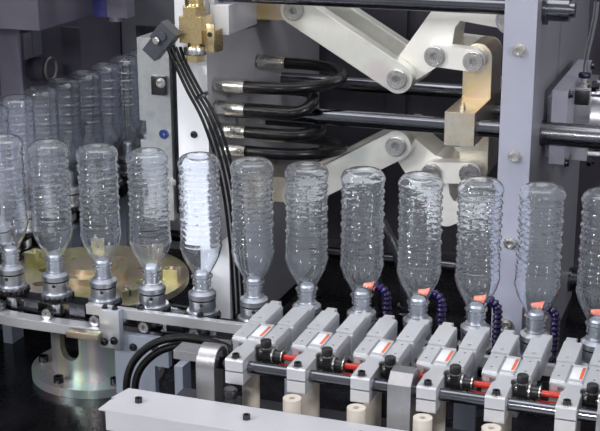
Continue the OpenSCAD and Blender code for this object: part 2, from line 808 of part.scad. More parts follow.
module chain_wheel() color([0.86, 0.78, 0.42]) line()
    translate([-run_l, wheel_r, 0]) {
        difference() {
            union() {
                translate([0, 0, disc_top - disc_t]) cylinder(h = disc_t, d = disc_d);
                translate([0, 0, disc_top]) cylinder(h = 14, d = 120);
                translate([0, 0, disc_top + 14]) cylinder(h = 10, d = 84);
            }
            for (a = [0:45:315])
                rotate([0, 0, a]) translate([96, 0, disc_top - disc_t - 1]) cylinder(h = disc_t + 2, d = 26);
        }
        translate([0, 0, table_z + 8])
            cylinder(h = disc_top - disc_t - seat_gap - table_z - 8, d = wheel_shaft_d);
        for (i = [0:wheel_pitches / 2 - 1])
            rotate([0, 0, (i + 0.25) * 720 / wheel_pitches]) translate([140, 0, disc_top + seat_gap])
                clamp_block();
    }

// Mandrels, chain and rollers

module mandrel() {
    spigot = neck_d / 2 - neck_wall - seat_gap;
    rc = collar_d / 2;
    top = -collar_drop;
    difference() {
        rotate_extrude() polygon([[0, 6], [spigot - 2, 6], [spigot, 3], [spigot, top + 0.2],
            [neck_d / 2 + 1.5, top + 0.2], [neck_d / 2 + 1.5, top - 2], [rc, top - 6], [rc, top - 14],
            [rc - 2.5, top - 14], [rc - 2.5, top - 17], [rc - 1, top - 17], [rc - 1, crown_top],
            [0, crown_top]]);
        rotate([0, 0, 20]) rotate([90, 0, 0]) translate([0, top - 21, 0]) cylinder(h = rc + 1, d = 6);
    }
    translate([0, 0, crown_bottom]) difference() {
        cylinder(h = crown_top - crown_bottom, d = crown_d);
        for (i = [0:crown_teeth - 1])
            rotate([0, 0, i * 360 / crown_teeth]) translate([crown_d / 2, 0, -1])
                cylinder(h = crown_top - crown_bottom - 2, d = 5, $fn = 16);
    }
    translate([0, 0, stem_end]) cylinder(h = crown_bottom - stem_end, d = stem_d);
    translate([0, 0, stem_end]) cylinder(h = 6, d = stem_d + 6);
}

module mandrels() color("silver") line()
    for (k = [first_station:last_station])
        at_station(k) difference() {
            mandrel();
            rod_y(0, -stem_d, roller_z, 8, stem_d / 2 + 4);
        }

// Link between stations k and k + 1, outer on even stations and inner on odd ones
module chain_link(k) {
    a = station(k);
    b = station(k + 1);
    d = [b[0] - a[0], b[1] - a[1]];
    z = (k % 2 == 0) ? outer_z : inner_z;
    translate([a[0], a[1], -chain_drop]) rotate([0, 0, atan2(d[1], d[0])])
        difference() {
            union() {
                for (h = [z, -z - link_t])
                    translate([0, 0, h]) linear_extrude(link_t) bar2d([0, 0], [norm(d), 0], link_w / 2);
                translate([norm(d) / 2 - 14, -link_w / 2 + 2, -z]) cube([28, link_w - 4, 2 * z]);
            }
            for (x = [0, norm(d)])
                translate([x, 0, -40]) cylinder(h = 80, d = stem_d + 2 * run_gap);
        }
}

module chain_links() color([0.2, 0.2, 0.22]) line()
    for (k = [first_station:last_station - 1]) chain_link(k);

module side_rollers() color([0.9, 0.9, 0.9]) line()
    for (k = [first_station:last_station])
        at_station(k) difference() {
            union() {
                rod_y(0, -roller_in - roller_w, roller_z, roller_d, roller_w);
                rod_y(0, -roller_in, roller_z, 7.8, roller_in - stem_d / 2 + 3);
            }
            translate([0, -roller_in - roller_w - 1, roller_z]) rotate([-90, 0, 0])
                cylinder(h = 6, d = 7, $fn = 6);
        }

rail_y = -roller_in - roller_w - rail_t;
curve_out = wheel_r - rail_y;
joint_x = -321;
joint_w = 35;

module chain_rails() color([0.85, 0.86, 0.88]) line() {
    block(-350, rail_y, rail_top - rail_h, drive_x - seat_gap + 350, rail_t, rail_h);
    difference() {
        translate([-run_l, wheel_r, curve_top - curve_h]) cylinder(h = curve_h, r = curve_out, $fn = 96);
        translate([-run_l, wheel_r, curve_top - curve_h - 1])
            cylinder(h = curve_h + 2, r = curve_out - curve_w, $fn = 96);
        block(-run_l, wheel_r - curve_out - 1, curve_top - curve_h - 1, 400, 800, curve_h + 2);
        block(-run_l - 400, wheel_r, curve_top - curve_h - 1, 800, 400, curve_h + 2);
    }
    block(-run_l - 0.01, rail_y, curve_top - curve_h, run_l + joint_x + joint_w / 2, curve_w, curve_h);
    block(-run_l - curve_out, wheel_r - 0.01, curve_top - curve_h, curve_w,
        oven_y - seat_gap - wheel_r, curve_h);
}

module rail_brackets() color([0.55, 0.6, 0.72]) line() {
    y = rail_y - 12;
    plate_x = joint_x + joint_w / 2 + seat_gap;
    plate_w = 93;
    difference() {
        union() {
            slab(y, 12 - seat_gap) polygon([[joint_x, -60], [joint_x + 10, -53], [joint_x + joint_w, -53],
                [joint_x + joint_w, -118], [joint_x + 4, -114]]);
            block(plate_x, rail_y, table_z, plate_w, 12, curve_top - 2 - table_z);
        }
        block(plate_x + plate_w - 24, rail_y - 1, table_z - 1, 25, 14, 142);
    }
    block(plate_x + plate_w + 11, rail_y - 4, table_z, 14, 30, 148);
    for (x = [0, 3, 6] * pitch)
        block(x - 15, rail_y - 12 - seat_gap, table_z, 30, 12, rail_top - 6 - table_z);
    for (y2 = [wheel_r + 60, wheel_r + 300, wheel_r + 540])
        block(-run_l - curve_out + 2, y2, table_z, 20, 40, curve_top - curve_h - table_z - seat_gap);
}

// Socket screw with its head's top at the origin, pointing down
module socket_screw(d, l) {
    difference() {
        translate([0, 0, -d]) cylinder(h = d, d = 1.6 * d);
        translate([0, 0, -d * 0.6]) cylinder(h = d, d = d, $fn = 6);
    }
    translate([0, 0, -d - l]) cylinder(h = l + 0.01, d = d);
}

module socket_screws() color([0.1, 0.1, 0.1]) line() {
    for (a = [0:60:300])
        translate([-run_l, wheel_r, 0]) rotate([0, 0, a + 15])
            translate([100, 0, table_z + flange_t + 11]) socket_screw(11, flange_t - 8);
    for (x = cover_screws)
        translate([x, cover_rear - cover_w / 2, cover_z + cover_t + 6 + seat_gap]) socket_screw(6, cover_t);
}

// Bottles, upside down on the mandrels

body_r = bottle_d / 2;
rib_z0 = 72;
rib_z1 = bottle_h - 14;
rib_steps = 4 * rib_count;
bottle_wall = 2;

module bottle() {
    nr = neck_d / 2;
    ribs = [for (i = [0:rib_steps])
        [body_r - rib_depth * (0.5 - 0.5 * cos(360 * i * rib_count / rib_steps)),
            rib_z0 + (rib_z1 - rib_z0) * i / rib_steps]];
    rotate_extrude() polygon(concat(
            [[nr - neck_wall, -neck_l], [nr, -neck_l], [nr, -neck_l + 4], [nr + 1.2, -neck_l + 5],
                [nr, -neck_l + 6], [nr, -3], [neck_ring_d / 2, -2], [neck_ring_d / 2, 0], [nr, 1],
                [nr, 6], [nr + 3, 14], [nr + 9, 28], [body_r - 5, 44], [body_r - 1, 58], [body_r, 66]],
            ribs,
            [[body_r - 1.5, bottle_h - 5], [body_r - 6, bottle_h], [body_r - 11, bottle_h],
                [body_r - 16, bottle_h - 6], [0, bottle_h - 12]],
            [[0, bottle_h - 14], [body_r - 15, bottle_h - 9], [body_r - 10, bottle_h - 4],
                [body_r - 7, bottle_h - 4], [body_r - rib_depth - bottle_wall, bottle_h - 12],
                [body_r - rib_depth - bottle_wall, 60], [body_r - 7, 44], [nr + 7, 28], [nr + 1, 14],
                [nr - neck_wall, 6]]));
}

module bottles() color([0.8, 0.88, 0.95, 0.4]) line()
    for (k = [first_station:last_station]) at_station(k) bottle();

// Gripper station

base_x0 = -112;
base_x1 = drive_x - seat_gap;
support_x = [-40, 2.6 * pitch, 5.6 * pitch];

module gripper_base() color([0.2, 0.2, 0.22]) line() {
    block(base_x0, shaft_y - 62, base_top - 18, base_x1 - base_x0, 124, 18);
    for (x = [base_x0 + 20, 240, base_x1 - 80])
        block(x, shaft_y - 30, table_z, 60, 60, base_top - 18 - table_z);
    for (x = [base_x0 - 18, 240, base_x1 - 70])
        block(x, cover_rear - cover_w + 8, table_z, 40, 40, cover_z - seat_gap - table_z);
    rod_z(0, shaft_y - post_out, base_top, 16, post_top - base_top);
    rod_z(0, shaft_y - post_out, base_top, post_d, 12);
}

module rod_z(x, y, z, d, l) {
    translate([x, y, z]) cylinder(h = l, d = d);
}

module shaft_supports() color([0.75, 0.76, 0.78]) line() {
    w = 26;
    bore = shaft_d + 2 * run_gap;
    difference() {
        union() {
            translate([support_x[0] - w / 2, 0, 0]) rotate([90, 0, 90]) linear_extrude(w) difference() {
                union() {
                    translate([shaft_y, shaft_z]) circle(25);
                    translate([shaft_y - 25, base_top]) square([50, shaft_z - base_top]);
                }
                translate([shaft_y, shaft_z]) circle(22);
                translate([shaft_y - 22, base_top - 1]) square([44, shaft_z - base_top + 1]);
            }
            block(support_x[0] - 9, shaft_y - 14, base_top, 18, 28, shaft_z - base_top + 14);
            block(support_x[0] - w / 2 - 34, shaft_y - 20, shaft_z + 6, 34, 30, 12);
        }
        rod_x(support_x[0] - 10, shaft_y, shaft_z, bore, 20);
    }
    for (x = [support_x[1], support_x[2]])
        difference() {
            translate([x - 15, 0, 0]) rotate([90, 0, 90]) linear_extrude(30)
                polygon([[shaft_y - 24, base_top], [shaft_y + 22, base_top], [shaft_y + 22, shaft_z + 18],
                    [shaft_y + 10, shaft_z + 27], [shaft_y - 10, shaft_z + 27], [shaft_y - 24, shaft_z + 15]]);
            rod_x(x - 16, shaft_y, shaft_z, bore, 32);
        }
}

module gripper_shaft() color([0.3, 0.3, 0.34]) line() {
    x0 = support_x[0] - 9;
    rod_x(x0, shaft_y, shaft_z, shaft_d, drive_x + 40 - x0);
}

module at_arms() {
    for (i = [0:gripper_count - 1]) translate([i * pitch, shaft_y, shaft_z]) children();
}

neck_w = arm_w - 7;
ear_t = 4;

// Right edge of the flange, from the clamp to the gripper body
flange_side = [[arm_w / 2, arm_front - 4], [neck_w / 2 + 0.6, arm_front + 5], [neck_w / 2, arm_front + 12],
    [neck_w / 2 + 3, arm_front + 18], [grip_w / 2 - 4, arm_back - 6], [grip_w / 2, arm_back - 4],
    [grip_w / 2, arm_back]];

// Split clamp on the shaft, a narrower neck and a thin flange with two ears
module gripper_arms() color([0.82, 0.83, 0.85]) line() at_arms() {
    difference() {
        union() {
            translate([-arm_w / 2, -arm_front, 0]) rotate([90, 0, 90]) linear_extrude(arm_w)
                polygon([[0, -arm_h / 2], [2 * arm_front, -arm_h / 2], [2 * arm_front, arm_h / 2],
                    [2, arm_h / 2], [0, arm_h / 2 - 2]]);
            block(-neck_w / 2, arm_front - 1, -arm_h / 2 + 8, neck_w, arm_back - arm_front + 1, arm_h - 8);
            translate([0, 0, arm_h / 2 - ear_t]) linear_extrude(ear_t)
                polygon([for (side = [1, -1], p = side > 0 ? flange_side : [for (i = [6:-1:0]) flange_side[i]])
                    [side * p[0], p[1]]]);
        }
        rod_x(-arm_w, 0, 0, shaft_d + 2 * run_gap, 2 * arm_w);
        block(-arm_w, -arm_front - 1, -1, 2 * arm_w, arm_front, 2);
        translate([0, -arm_front + 8 - 0.5, 2]) cylinder(h = arm_h, d = 6 + 2 * run_gap);
    }
    // Screw under the left ear
    rod_y(-grip_w / 2 + 7, arm_back - 5, arm_h / 2 - ear_t - 4, 9, 5 - seat_gap);
}

module arm_screws() color([0.35, 0.33, 0.3]) line() at_arms()
    translate([0, -arm_front + 8 - 0.5, arm_h / 2 + 6]) socket_screw(6, 12);

module gripper_bodies() color([0.84, 0.85, 0.87]) line() at_arms() {
    h = 32;
    y = arm_back;
    difference() {
        block(-grip_w / 2, y, -h / 2, grip_w, grip_l, h + 3);
        for (x = [-12, 8.6]) block(x, y - 1, h / 2 - 1, 3.4, grip_l + 2, 5);
        block(-8.6, y + 8, h / 2 + 2, 17.2, grip_l - 16, 2);
        for (x = [-grip_w / 2 + 9, grip_w / 2 - 9], yy = [14, grip_l - 9])
            translate([x, y + yy, h / 2 - 1]) cylinder(h = 5, d = 4);
        for (x = [-grip_w / 2 - 1, grip_w / 2 - 5]) block(x, y + 14, -6, 6, grip_l - 28, 4);
    }
    block(-grip_w / 2 + 6, y + grip_l, -12, grip_w - 12, 8, 10);
}

// Finger of the left side, base at the gripper body and a half-round notch at its tip
module finger() {
    y0 = arm_back + grip_l + 8 + seat_gap;
    z0 = -14;
    h = 32;
    x1 = -finger_gap / 2;
    difference() {
        union() {
            block(x1 - finger_w, y0, z0, finger_w, finger_l - 8, h - 4);
            block(x1 - finger_w, y0 + 2, z0 + h - 4, finger_w, finger_l - 34, 4);
        }
        translate([-finger_travel, y0 + finger_l - 14, z0 - 1]) cylinder(h = h + 2, d = neck_d + 2 * seat_gap);
        block(x1 - finger_w - 1, y0 + finger_l - 30, z0 - 1, finger_w + 2, 40, 10);
        translate([x1 - finger_w / 2, y0 + 14, z0 + h - 5]) cylinder(h = 6, d = 6);
    }
}

module left_fingers() color([0.88, 0.88, 0.9]) line() at_arms() finger();
module right_fingers() color([0.88, 0.88, 0.9]) line() at_arms() mirror([1, 0, 0]) finger();

module speed_controllers() color([0.08, 0.08, 0.09]) line()
    for (i = [0:gripper_count - 2])
        translate([i * pitch + arm_w / 2, shaft_y + controller_out, shaft_z]) {
            rod_x(0, 0, 3, 19, 22);
            rod_x(21, 0, 3, 16, 13);
            rod_z(11, -5, 3, 13, 18);
            block(5, -6, -17, 12, 12, 18);
            rod_x(16, 0, -11, 10, 14);
        }

module air_tubes() color([0.8, 0.2, 0.12]) line()
    for (i = [0:gripper_count - 2])
        translate([i * pitch + arm_w / 2, shaft_y + controller_out, shaft_z]) {
            rod_x(34 + seat_gap, 0, 3, 8, pitch - arm_w - 34 - 2 * seat_gap);
            rod_x(30 + seat_gap, 0, -11, 8, pitch - arm_w - 30 - 2 * seat_gap);
        }

module stop_posts() color([0.9, 0.87, 0.8]) line()
    for (i = [0:gripper_count - 1], side = [-1, 1])
        if (i > 0 || side > 0)
            difference() {
                rod_z(i * pitch, shaft_y + side * post_out, base_top, post_d, post_top - base_top);
                rod_z(i * pitch, shaft_y + side * post_out, post_top - 6, 8, 10);
            }

// Places of the cover's screws, between the bearing blocks
cover_screws = [for (i = [-1.25, 0.5, 2.25, 4, 5.75]) i * pitch];

module cover_plate() color([0.72, 0.73, 0.78]) line() {
    x0 = base_x0 - 35;
    x1 = base_x1;
    y0 = cover_rear - cover_w;
    translate([0, 0, cover_z]) difference() {
        linear_extrude(cover_t) polygon([[x0, y0], [x1, y0], [x1, cover_rear], [x0 + 8, cover_rear],
            [x0, cover_rear - 34], [x0 + 6, cover_rear - 34], [x0 + 2, y0 + 30]]);
        for (x = cover_screws)
            translate([x, cover_rear - cover_w / 2, -1]) cylinder(h = 6, d = 6 + 2 * seat_gap);
    }
    block(x0 + 10, y0, cover_z - 26, x1 - x0 - 20, cover_t, 26.5);
}

// Coolant hoses and conduits

manifold_y = 78;
manifold_z = -96;

module coolant_hose(x) {
    bend = 17;
    rise = 56;
    rod_z(x, manifold_y, manifold_z + 8, 15, rise);
    translate([x - bend, manifold_y, manifold_z + 8 + rise]) rotate([90, 0, 0])
        rotate_extrude(angle = 90) translate([bend, 0]) circle(d = 15);
    translate([x - bend, manifold_y, manifold_z + 8 + rise + bend]) rotate([0, -90, 0]) {
        cylinder(h = 4, d = 15);
        translate([0, 0, 4]) cylinder(h = 16, d1 = 13, d2 = 6);
    }
}

module coolant_hoses() color([0.3, 0.2, 0.7]) line() {
    x0 = pitch * 0.6;
    l = right_stations * pitch + 20 - x0;
    rod_x(x0, manifold_y, manifold_z, 20, l);
    for (x = [x0 + 10, x0 + l - 30])
        block(x, manifold_y - 10, table_z, 20, 20, manifold_z - 9 - table_z);
    for (k = [1:5]) coolant_hose(k * pitch + 17);
    rod_z(air_x, air_y, table_z, 24, air_top - table_z);
    rod_z(air_x - 52, air_y + 42, table_z, 24, air_top - 30 - table_z);
}

conduit_paths = [for (i = [0, 1]) [
    [-40, -150 - i * 6, -70 + i * 14],
    [-70, -140 - i * 6, -62 + i * 14],
    [-110, -130 - i * 6, -60 + i * 14],
    [-150 - i * 3, -126 - i * 5, -64 + i * 14],
    [-186 - i * 8, -128 - i * 4, -78 + i * 12],
    [-212 - i * 12, -134 - i * 2, -104 + i * 8],
    [-220 - i * 14, -142, -134 + i * 2],
    [-210 - i * 14, -152, -166 - i * 3],
    [-190 - i * 13, -166 + i * 2, -200 - i * 6],
    [-176 - i * 14, -180 + i * 4, -240],
    [-172 - i * 14, -190 + i * 6, table_z + 1.8]]];

module cable_conduits() color([0.07, 0.07, 0.08]) line()
    for (p = conduit_paths) tube(smooth_path(p, 2), 12);

// Flat-faced fitting with a hose that rises behind the bottles and turns back to the manifold
air_x = 134;
air_y = 66;
air_top = -34;
air_path = [[air_x, air_y, air_top + seat_gap], [air_x, air_y, air_top + 22], [air_x - 3, air_y, 10],
    [air_x - 10, air_y, 34], [air_x - 20, air_y + 1, 58], [air_x - 32, air_y + 4, 80],
    [air_x - 44, air_y + 10, 92], [air_x - 56, air_y + 18, 88], [air_x - 62, air_y + 26, 68],
    [air_x - 62, air_y + 34, 40], [air_x - 58, air_y + 40, 0], [air_x - 54, air_y + 42, -40],
    [air_x - 52, air_y + 42, air_top - 30 + 1.2]];

module air_hose() color([0.16, 0.17, 0.2]) line() tube(smooth_path(air_path, 1), 15, up = [0.1, 1, 0]);

base_frame();
leveling_feet();
table_plate();
base_panels();
guard_walls();
oven_housing();
drive_housing();
fixed_platen();
fixed_mould_plate();
tail_platen();
tie_bars();
guide_sleeves();
tail_pins();
clamp_cylinder();
cylinder_bracket();
moving_platen();
moving_mould_plate();
guide_rods();
platen_lugs();
platen_pins();
hydraulic_hoses();
hose_fittings();
blow_valve();
valve_connector();
valve_cables();
rear_link_upper();
rear_link_lower();
front_link_upper();
front_link_lower();
crosshead_link_upper();
crosshead_link_lower();
upper_link_pins();
lower_link_pins();
crosshead();
crosshead_pins();
piston_rod();
wheel_housing();
chain_wheel();
mandrels();
chain_links();
side_rollers();
chain_rails();
rail_brackets();
socket_screws();
bottles();
gripper_base();
shaft_supports();
gripper_shaft();
gripper_arms();
arm_screws();
gripper_bodies();
left_fingers();
right_fingers();
speed_controllers();
air_tubes();
stop_posts();
cover_plate();
coolant_hoses();
cable_conduits();
air_hose();
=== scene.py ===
"""Looks of the linear blow moulding machine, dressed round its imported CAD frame.

Every piece is in metres in the machine's own frame: X along the front bottle line, Y from front to rear,
Z up from the floor. The bottle line has a frame of its own, whose origin is the support ring of the bottle
at station 0.
"""

import logging
import math
from collections.abc import Callable, Sequence
from dataclasses import dataclass
from enum import Enum

import bmesh
import bpy
from mathutils import Matrix, Vector


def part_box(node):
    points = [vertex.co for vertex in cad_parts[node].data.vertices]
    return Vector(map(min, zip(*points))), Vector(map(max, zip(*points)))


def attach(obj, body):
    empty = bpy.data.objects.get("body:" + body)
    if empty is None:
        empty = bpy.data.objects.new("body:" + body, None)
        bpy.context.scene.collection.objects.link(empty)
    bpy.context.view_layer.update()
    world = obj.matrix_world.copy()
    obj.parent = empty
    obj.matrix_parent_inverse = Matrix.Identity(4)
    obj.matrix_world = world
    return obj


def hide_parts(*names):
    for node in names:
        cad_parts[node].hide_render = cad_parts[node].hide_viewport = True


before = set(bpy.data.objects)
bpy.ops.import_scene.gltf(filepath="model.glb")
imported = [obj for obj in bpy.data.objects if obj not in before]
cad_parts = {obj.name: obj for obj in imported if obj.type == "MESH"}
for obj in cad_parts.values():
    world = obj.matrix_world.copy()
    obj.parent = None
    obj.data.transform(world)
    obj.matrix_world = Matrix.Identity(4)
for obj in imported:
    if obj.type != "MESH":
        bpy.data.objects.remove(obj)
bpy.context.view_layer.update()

LINE_ORIGIN = Vector((0.12, -0.26, 1.133))
UP, FRONT, REAR, RIGHT, LEFT = (0, 0, 1), (0, -1, 0), (0, 1, 0), (1, 0, 0), (-1, 0, 0)
NOISE_LOW, NOISE_HIGH = 0.3, 0.7
LEAST_ROUGHNESS = 0.02
BUMP_HEIGHT = 0.0004
# Least X of a face's normal at which a finish's side colour is painted on as shade.
SHADE_FACING_RIGHT = 0.7
CURVE_STEPS = 24

Colour = tuple[float, float, float]
Point = tuple[float, float, float]
Profile = list[tuple[float, float]]
Shape = Callable[[float, float, float], float]
BMesh = bmesh.types.BMesh
Node = bpy.types.Node
Piece = bpy.types.Object

log = logging.getLogger("machine")


class Body(Enum):
    """Rigid bodies of the machine that pieces ride on."""

    MACHINE = "machine"
    PLATEN = "platen"
    GRIPPERS = "gripper_row"
    CROSSHEAD = "crosshead"
    REAR_UPPER = "rear_link_upper"
    REAR_LOWER = "rear_link_lower"


class Grain(Enum):
    """Direction of a surface's fine texture, as the stretch of its noise along X, Y and Z."""

    EVEN = (1.0, 1.0, 1.0)
    ALONG_X = (0.04, 1.0, 1.0)
    ALONG_Y = (1.0, 0.04, 1.0)
    ALONG_Z = (1.0, 1.0, 0.04)
    TURNED = (0.15, 0.15, 1.0)


class NodeTree:
    """A tree of shader nodes, built with short calls."""

    def __init__(self, owner: bpy.types.Material | bpy.types.World, output: str) -> None:
        """Empties a tree.

        Args:
            owner: What the tree belongs to.
            output: The type of its output node.
        """
        owner.use_nodes = True
        self.tree = owner.node_tree
        self.tree.nodes.clear()
        self.output = self.add(output)

    def add(self, kind: str, inputs: dict[str | int, object] | None = None, **settings: object) -> Node:
        """Adds a node.

        Args:
            kind: The node's type.
            inputs: Values for its sockets, by name or number.
            **settings: Properties of the node.

        Returns:
            The new node.
        """
        node = self.tree.nodes.new(kind)
        for key, value in settings.items():
            setattr(node, key, value)
        for key, value in (inputs or {}).items():
            node.inputs[key].default_value = value
        return node

    def link(self, a: Node, out: str | int, b: Node, into: str | int) -> None:
        """Links output `out` of node `a` to input `into` of node `b`."""
        self.tree.links.new(a.outputs[out], b.inputs[into])


class Shader(NodeTree):
    """One material's nodes."""

    def __init__(self, name: str, inputs: dict[str | int, object]) -> None:
        """Starts a material.

        Args:
            name: The material's name.
            inputs: Values for its surface's sockets.
        """
        self.material = bpy.data.materials.new(name)
        super().__init__(self.material, "ShaderNodeOutputMaterial")
        self.surface = self.add("ShaderNodeBsdfPrincipled", inputs)
        self.link(self.surface, "BSDF", self.output, "Surface")
        self.coordinates = self.add("ShaderNodeTexCoord")

    def noise(self, scale: float, detail: float, grain: Grain = Grain.EVEN) -> Node:
        """Adds a noise texture in the piece's own coordinates.

        Args:
            scale: Patches in a metre.
            detail: Octaves of finer noise.
            grain: Direction that the noise is stretched in.

        Returns:
            The noise node.
        """
        mapping = self.add("ShaderNodeMapping", {"Scale": grain.value})
        texture = self.add("ShaderNodeTexNoise", {"Scale": scale, "Detail": detail, "Roughness": 0.6})
        self.link(self.coordinates, "Object", mapping, "Vector")
        self.link(mapping, "Vector", texture, "Vector")
        return texture

    def ramp(self, source: Node, tones: Sequence[Colour]) -> Node:
        """Adds a colour ramp over a noise's usual values.

        Args:
            source: The noise node.
            tones: Two or more colours in order, spread evenly.

        Returns:
            The ramp node.
        """
        node = self.add("ShaderNodeValToRGB")
        stops = node.color_ramp.elements
        while len(stops) < len(tones):
            stops.new(0.5)
        for i, tone in enumerate(tones):
            stops[i].position = NOISE_LOW + (NOISE_HIGH - NOISE_LOW) * i / (len(tones) - 1)
            stops[i].color = (*tone, 1.0)
        self.link(source, "Fac", node, "Fac")
        return node

    def spread(self, source: Node, low: float, high: float) -> Node:
        """Adds a map from a noise's usual values to others.

        Args:
            source: The noise node.
            low: The lowest value that it gives.
            high: The highest value that it gives.

        Returns:
            The map's node.
        """
        ends = {"From Min": NOISE_LOW, "From Max": NOISE_HIGH, "To Min": low, "To Max": high}
        node = self.add("ShaderNodeMapRange", ends)
        self.link(source, "Fac", node, "Value")
        return node


@dataclass(frozen=True)
class Finish:
    """A surface finish with noise in its colour, gloss and relief."""

    name: str
    tones: tuple[Colour, ...]
    slot: str
    metallic: float = 1.0
    roughness: float = 0.3
    spread: float = 0.08
    patches: float = 9.0
    grain: Grain = Grain.EVEN
    grain_scale: float = 900.0
    relief: float = 0.15
    edge: float = 0.0012
    # side: darker colour painted on the faces that look along +X as painted shade; None paints none.
    side: Colour | None = None
    streaks: Grain = Grain.EVEN
    specular: float = 0.5
    glow: float = 0.0

    def material(self) -> bpy.types.Material:
        """Returns the finish's material, made on its first use."""
        return bpy.data.materials.get(f"{self.name}_finish") or self.make()

    def make(self) -> bpy.types.Material:
        """Builds the material.

        Returns:
            The new material.
        """
        shader = Shader(f"{self.name}_finish", {"Metallic": self.metallic, "Specular IOR Level": self.specular})
        surface = shader.surface
        colour = shader.ramp(shader.noise(self.patches, 4.0, self.streaks), self.tones)
        # Painted shade: faces that look along +X take the side colour.
        if self.side:
            self.paint_side_shade(shader, colour)
        else:
            shader.link(colour, "Color", surface, "Base Color")
        fine = shader.noise(self.grain_scale, 3.0, self.grain)
        gloss = shader.spread(fine, max(LEAST_ROUGHNESS, self.roughness - self.spread), self.roughness + self.spread)
        shader.link(gloss, "Result", surface, "Roughness")
        edge = shader.add("ShaderNodeBevel", {"Radius": self.edge}, samples=3)
        bump = shader.add("ShaderNodeBump", {"Strength": self.relief, "Distance": BUMP_HEIGHT})
        shader.link(fine, "Fac", bump, "Height")
        shader.link(edge, "Normal", bump, "Normal")
        shader.link(bump, "Normal", surface, "Normal")
        if self.glow:
            seen = shader.add("ShaderNodeMath", {1: self.glow}, operation="MULTIPLY")
            shader.link(shader.add("ShaderNodeLightPath"), "Is Camera Ray", seen, 0)
            shader.link(seen, "Value", surface, "Emission Strength")
        return shader.material

    def paint_side_shade(self, shader: Shader, colour: Node) -> None:
        """Paints shade on the faces that look along +X: they get the darker side colour as painted shade.

        Args:
            shader: The material's tree.
            colour: The node that gives the other faces' colour.
        """
        parts = shader.add("ShaderNodeSeparateXYZ")
        shader.link(shader.coordinates, "Normal", parts, "Vector")
        # Mask of the faces that get the painted shade.
        shade_mask = shader.add("ShaderNodeMath", {1: SHADE_FACING_RIGHT}, operation="GREATER_THAN")
        shader.link(parts, "X", shade_mask, 0)
        mix = shader.add("ShaderNodeMixRGB", {"Color2": (*self.side, 1.0)})
        shader.link(shade_mask, "Value", mix, "Fac")
        shader.link(colour, "Color", mix, "Color1")
        shader.link(mix, "Color", shader.surface, "Base Color")


@dataclass(frozen=True)
class ClearFinish:
    """Clear blown plastic."""

    name: str
    tint: Colour
    slot: str
    roughness: float = 0.012
    refraction: float = 1.45
    clearness: float = 0.985

    def material(self) -> bpy.types.Material:
        """Returns the finish's material, made on its first use."""
        return bpy.data.materials.get(f"{self.name}_finish") or self.make()

    def make(self) -> bpy.types.Material:
        """Builds the material.

        Returns:
            The new material.
        """
        inputs = {"Base Color": (*self.tint, 1.0), "Transmission Weight": self.clearness, "IOR": self.refraction}
        shader = Shader(f"{self.name}_finish", inputs)
        haze = shader.spread(shader.noise(60.0, 3.0), self.roughness * 0.5, self.roughness * 1.5)
        shader.link(haze, "Result", shader.surface, "Roughness")
        return shader.material


AnyFinish = Finish | ClearFinish

BLACK_PAINT = Finish(
    "black_paint", ((0.012, 0.012, 0.014), (0.022, 0.022, 0.026)), "black_paint", 0.0, 0.38, 0.1, relief=0.2
)
TABLE_STEEL = Finish(
    "oiled_black_table", ((0.006, 0.006, 0.008), (0.022, 0.022, 0.028)), "black_steel", 0.5, 0.2, 0.12, 14.0,
    grain_scale=120.0, relief=0.1,
)
LIGHT_PAINT = Finish("light_panel_paint", ((0.5, 0.52, 0.56), (0.56, 0.58, 0.62)), "light_paint", 0.0, 0.42, 0.06)
DARK_PAINT = Finish("dark_guard_paint", ((0.026, 0.024, 0.034), (0.04, 0.036, 0.05)), "dark_paint", 0.0, 0.5)
DARK_PLATEN = Finish("dark_platen_paint", ((0.06, 0.056, 0.08), (0.085, 0.08, 0.108)), "dark_paint", 0.0, 0.42)
GREY_PAINT = Finish("grey_paint", ((0.13, 0.13, 0.16), (0.17, 0.17, 0.2)), "grey_paint", 0.0, 0.45)
# The side colour is painted shade on the faces that look along +X, darker than the paint's own tone.
LAVENDER_PAINT = Finish(
    "lavender_grey_paint", ((0.33, 0.34, 0.43), (0.39, 0.4, 0.49)), "lavender_paint", 0.0, 0.38,
    side=(0.2, 0.2, 0.24),
)
COVER_PAINT = Finish("lavender_cover_paint", ((0.45, 0.45, 0.5), (0.51, 0.51, 0.56)), "lavender_paint", 0.0, 0.36)
# The side colour is painted shade on the faces that look along +X, which stay grey while the front stays white.
WHITE_PAINT = Finish(
    "white_paint", ((0.72, 0.73, 0.79), (0.8, 0.81, 0.86)), "white_paint", 0.0, 0.38, side=(0.3, 0.3, 0.33)
)
WHITE_PLATE = Finish(
    "white_plate", ((0.74, 0.75, 0.8), (0.8, 0.81, 0.85)), "white_paint", 0.0, 0.4, 0.05, relief=0.03, edge=0.0003
)
GROUND_STEEL = Finish(
    "ground_steel", ((0.4, 0.4, 0.42), (0.52, 0.52, 0.54)), "ground_steel", 1.0, 0.28, 0.1, grain=Grain.ALONG_Y
)
NICKEL = Finish(
    "nickel_plate", ((0.58, 0.57, 0.55), (0.68, 0.67, 0.65)), "ground_steel", 1.0, 0.27, 0.06, relief=0.04, edge=0.0004
)
BARREL_STEEL = Finish(
    "light_barrel", ((0.46, 0.46, 0.5), (0.56, 0.56, 0.6)), "ground_steel", 1.0, 0.34, grain=Grain.ALONG_X
)
BRACKET_PAINT = Finish("bracket_grey", ((0.34, 0.34, 0.42), (0.4, 0.4, 0.48)), "ground_steel", 0.3, 0.4)
MOULD_STEEL = Finish(
    "mould_plate_steel", ((0.38, 0.4, 0.43), (0.52, 0.54, 0.55), (0.42, 0.43, 0.48)), "ground_steel", 0.9, 0.38, 0.12,
    26.0,
)
HOLDER_PAINT = Finish("holder_grey", ((0.17, 0.165, 0.22), (0.23, 0.225, 0.28)), "ground_steel", 0.3, 0.4, 0.1)
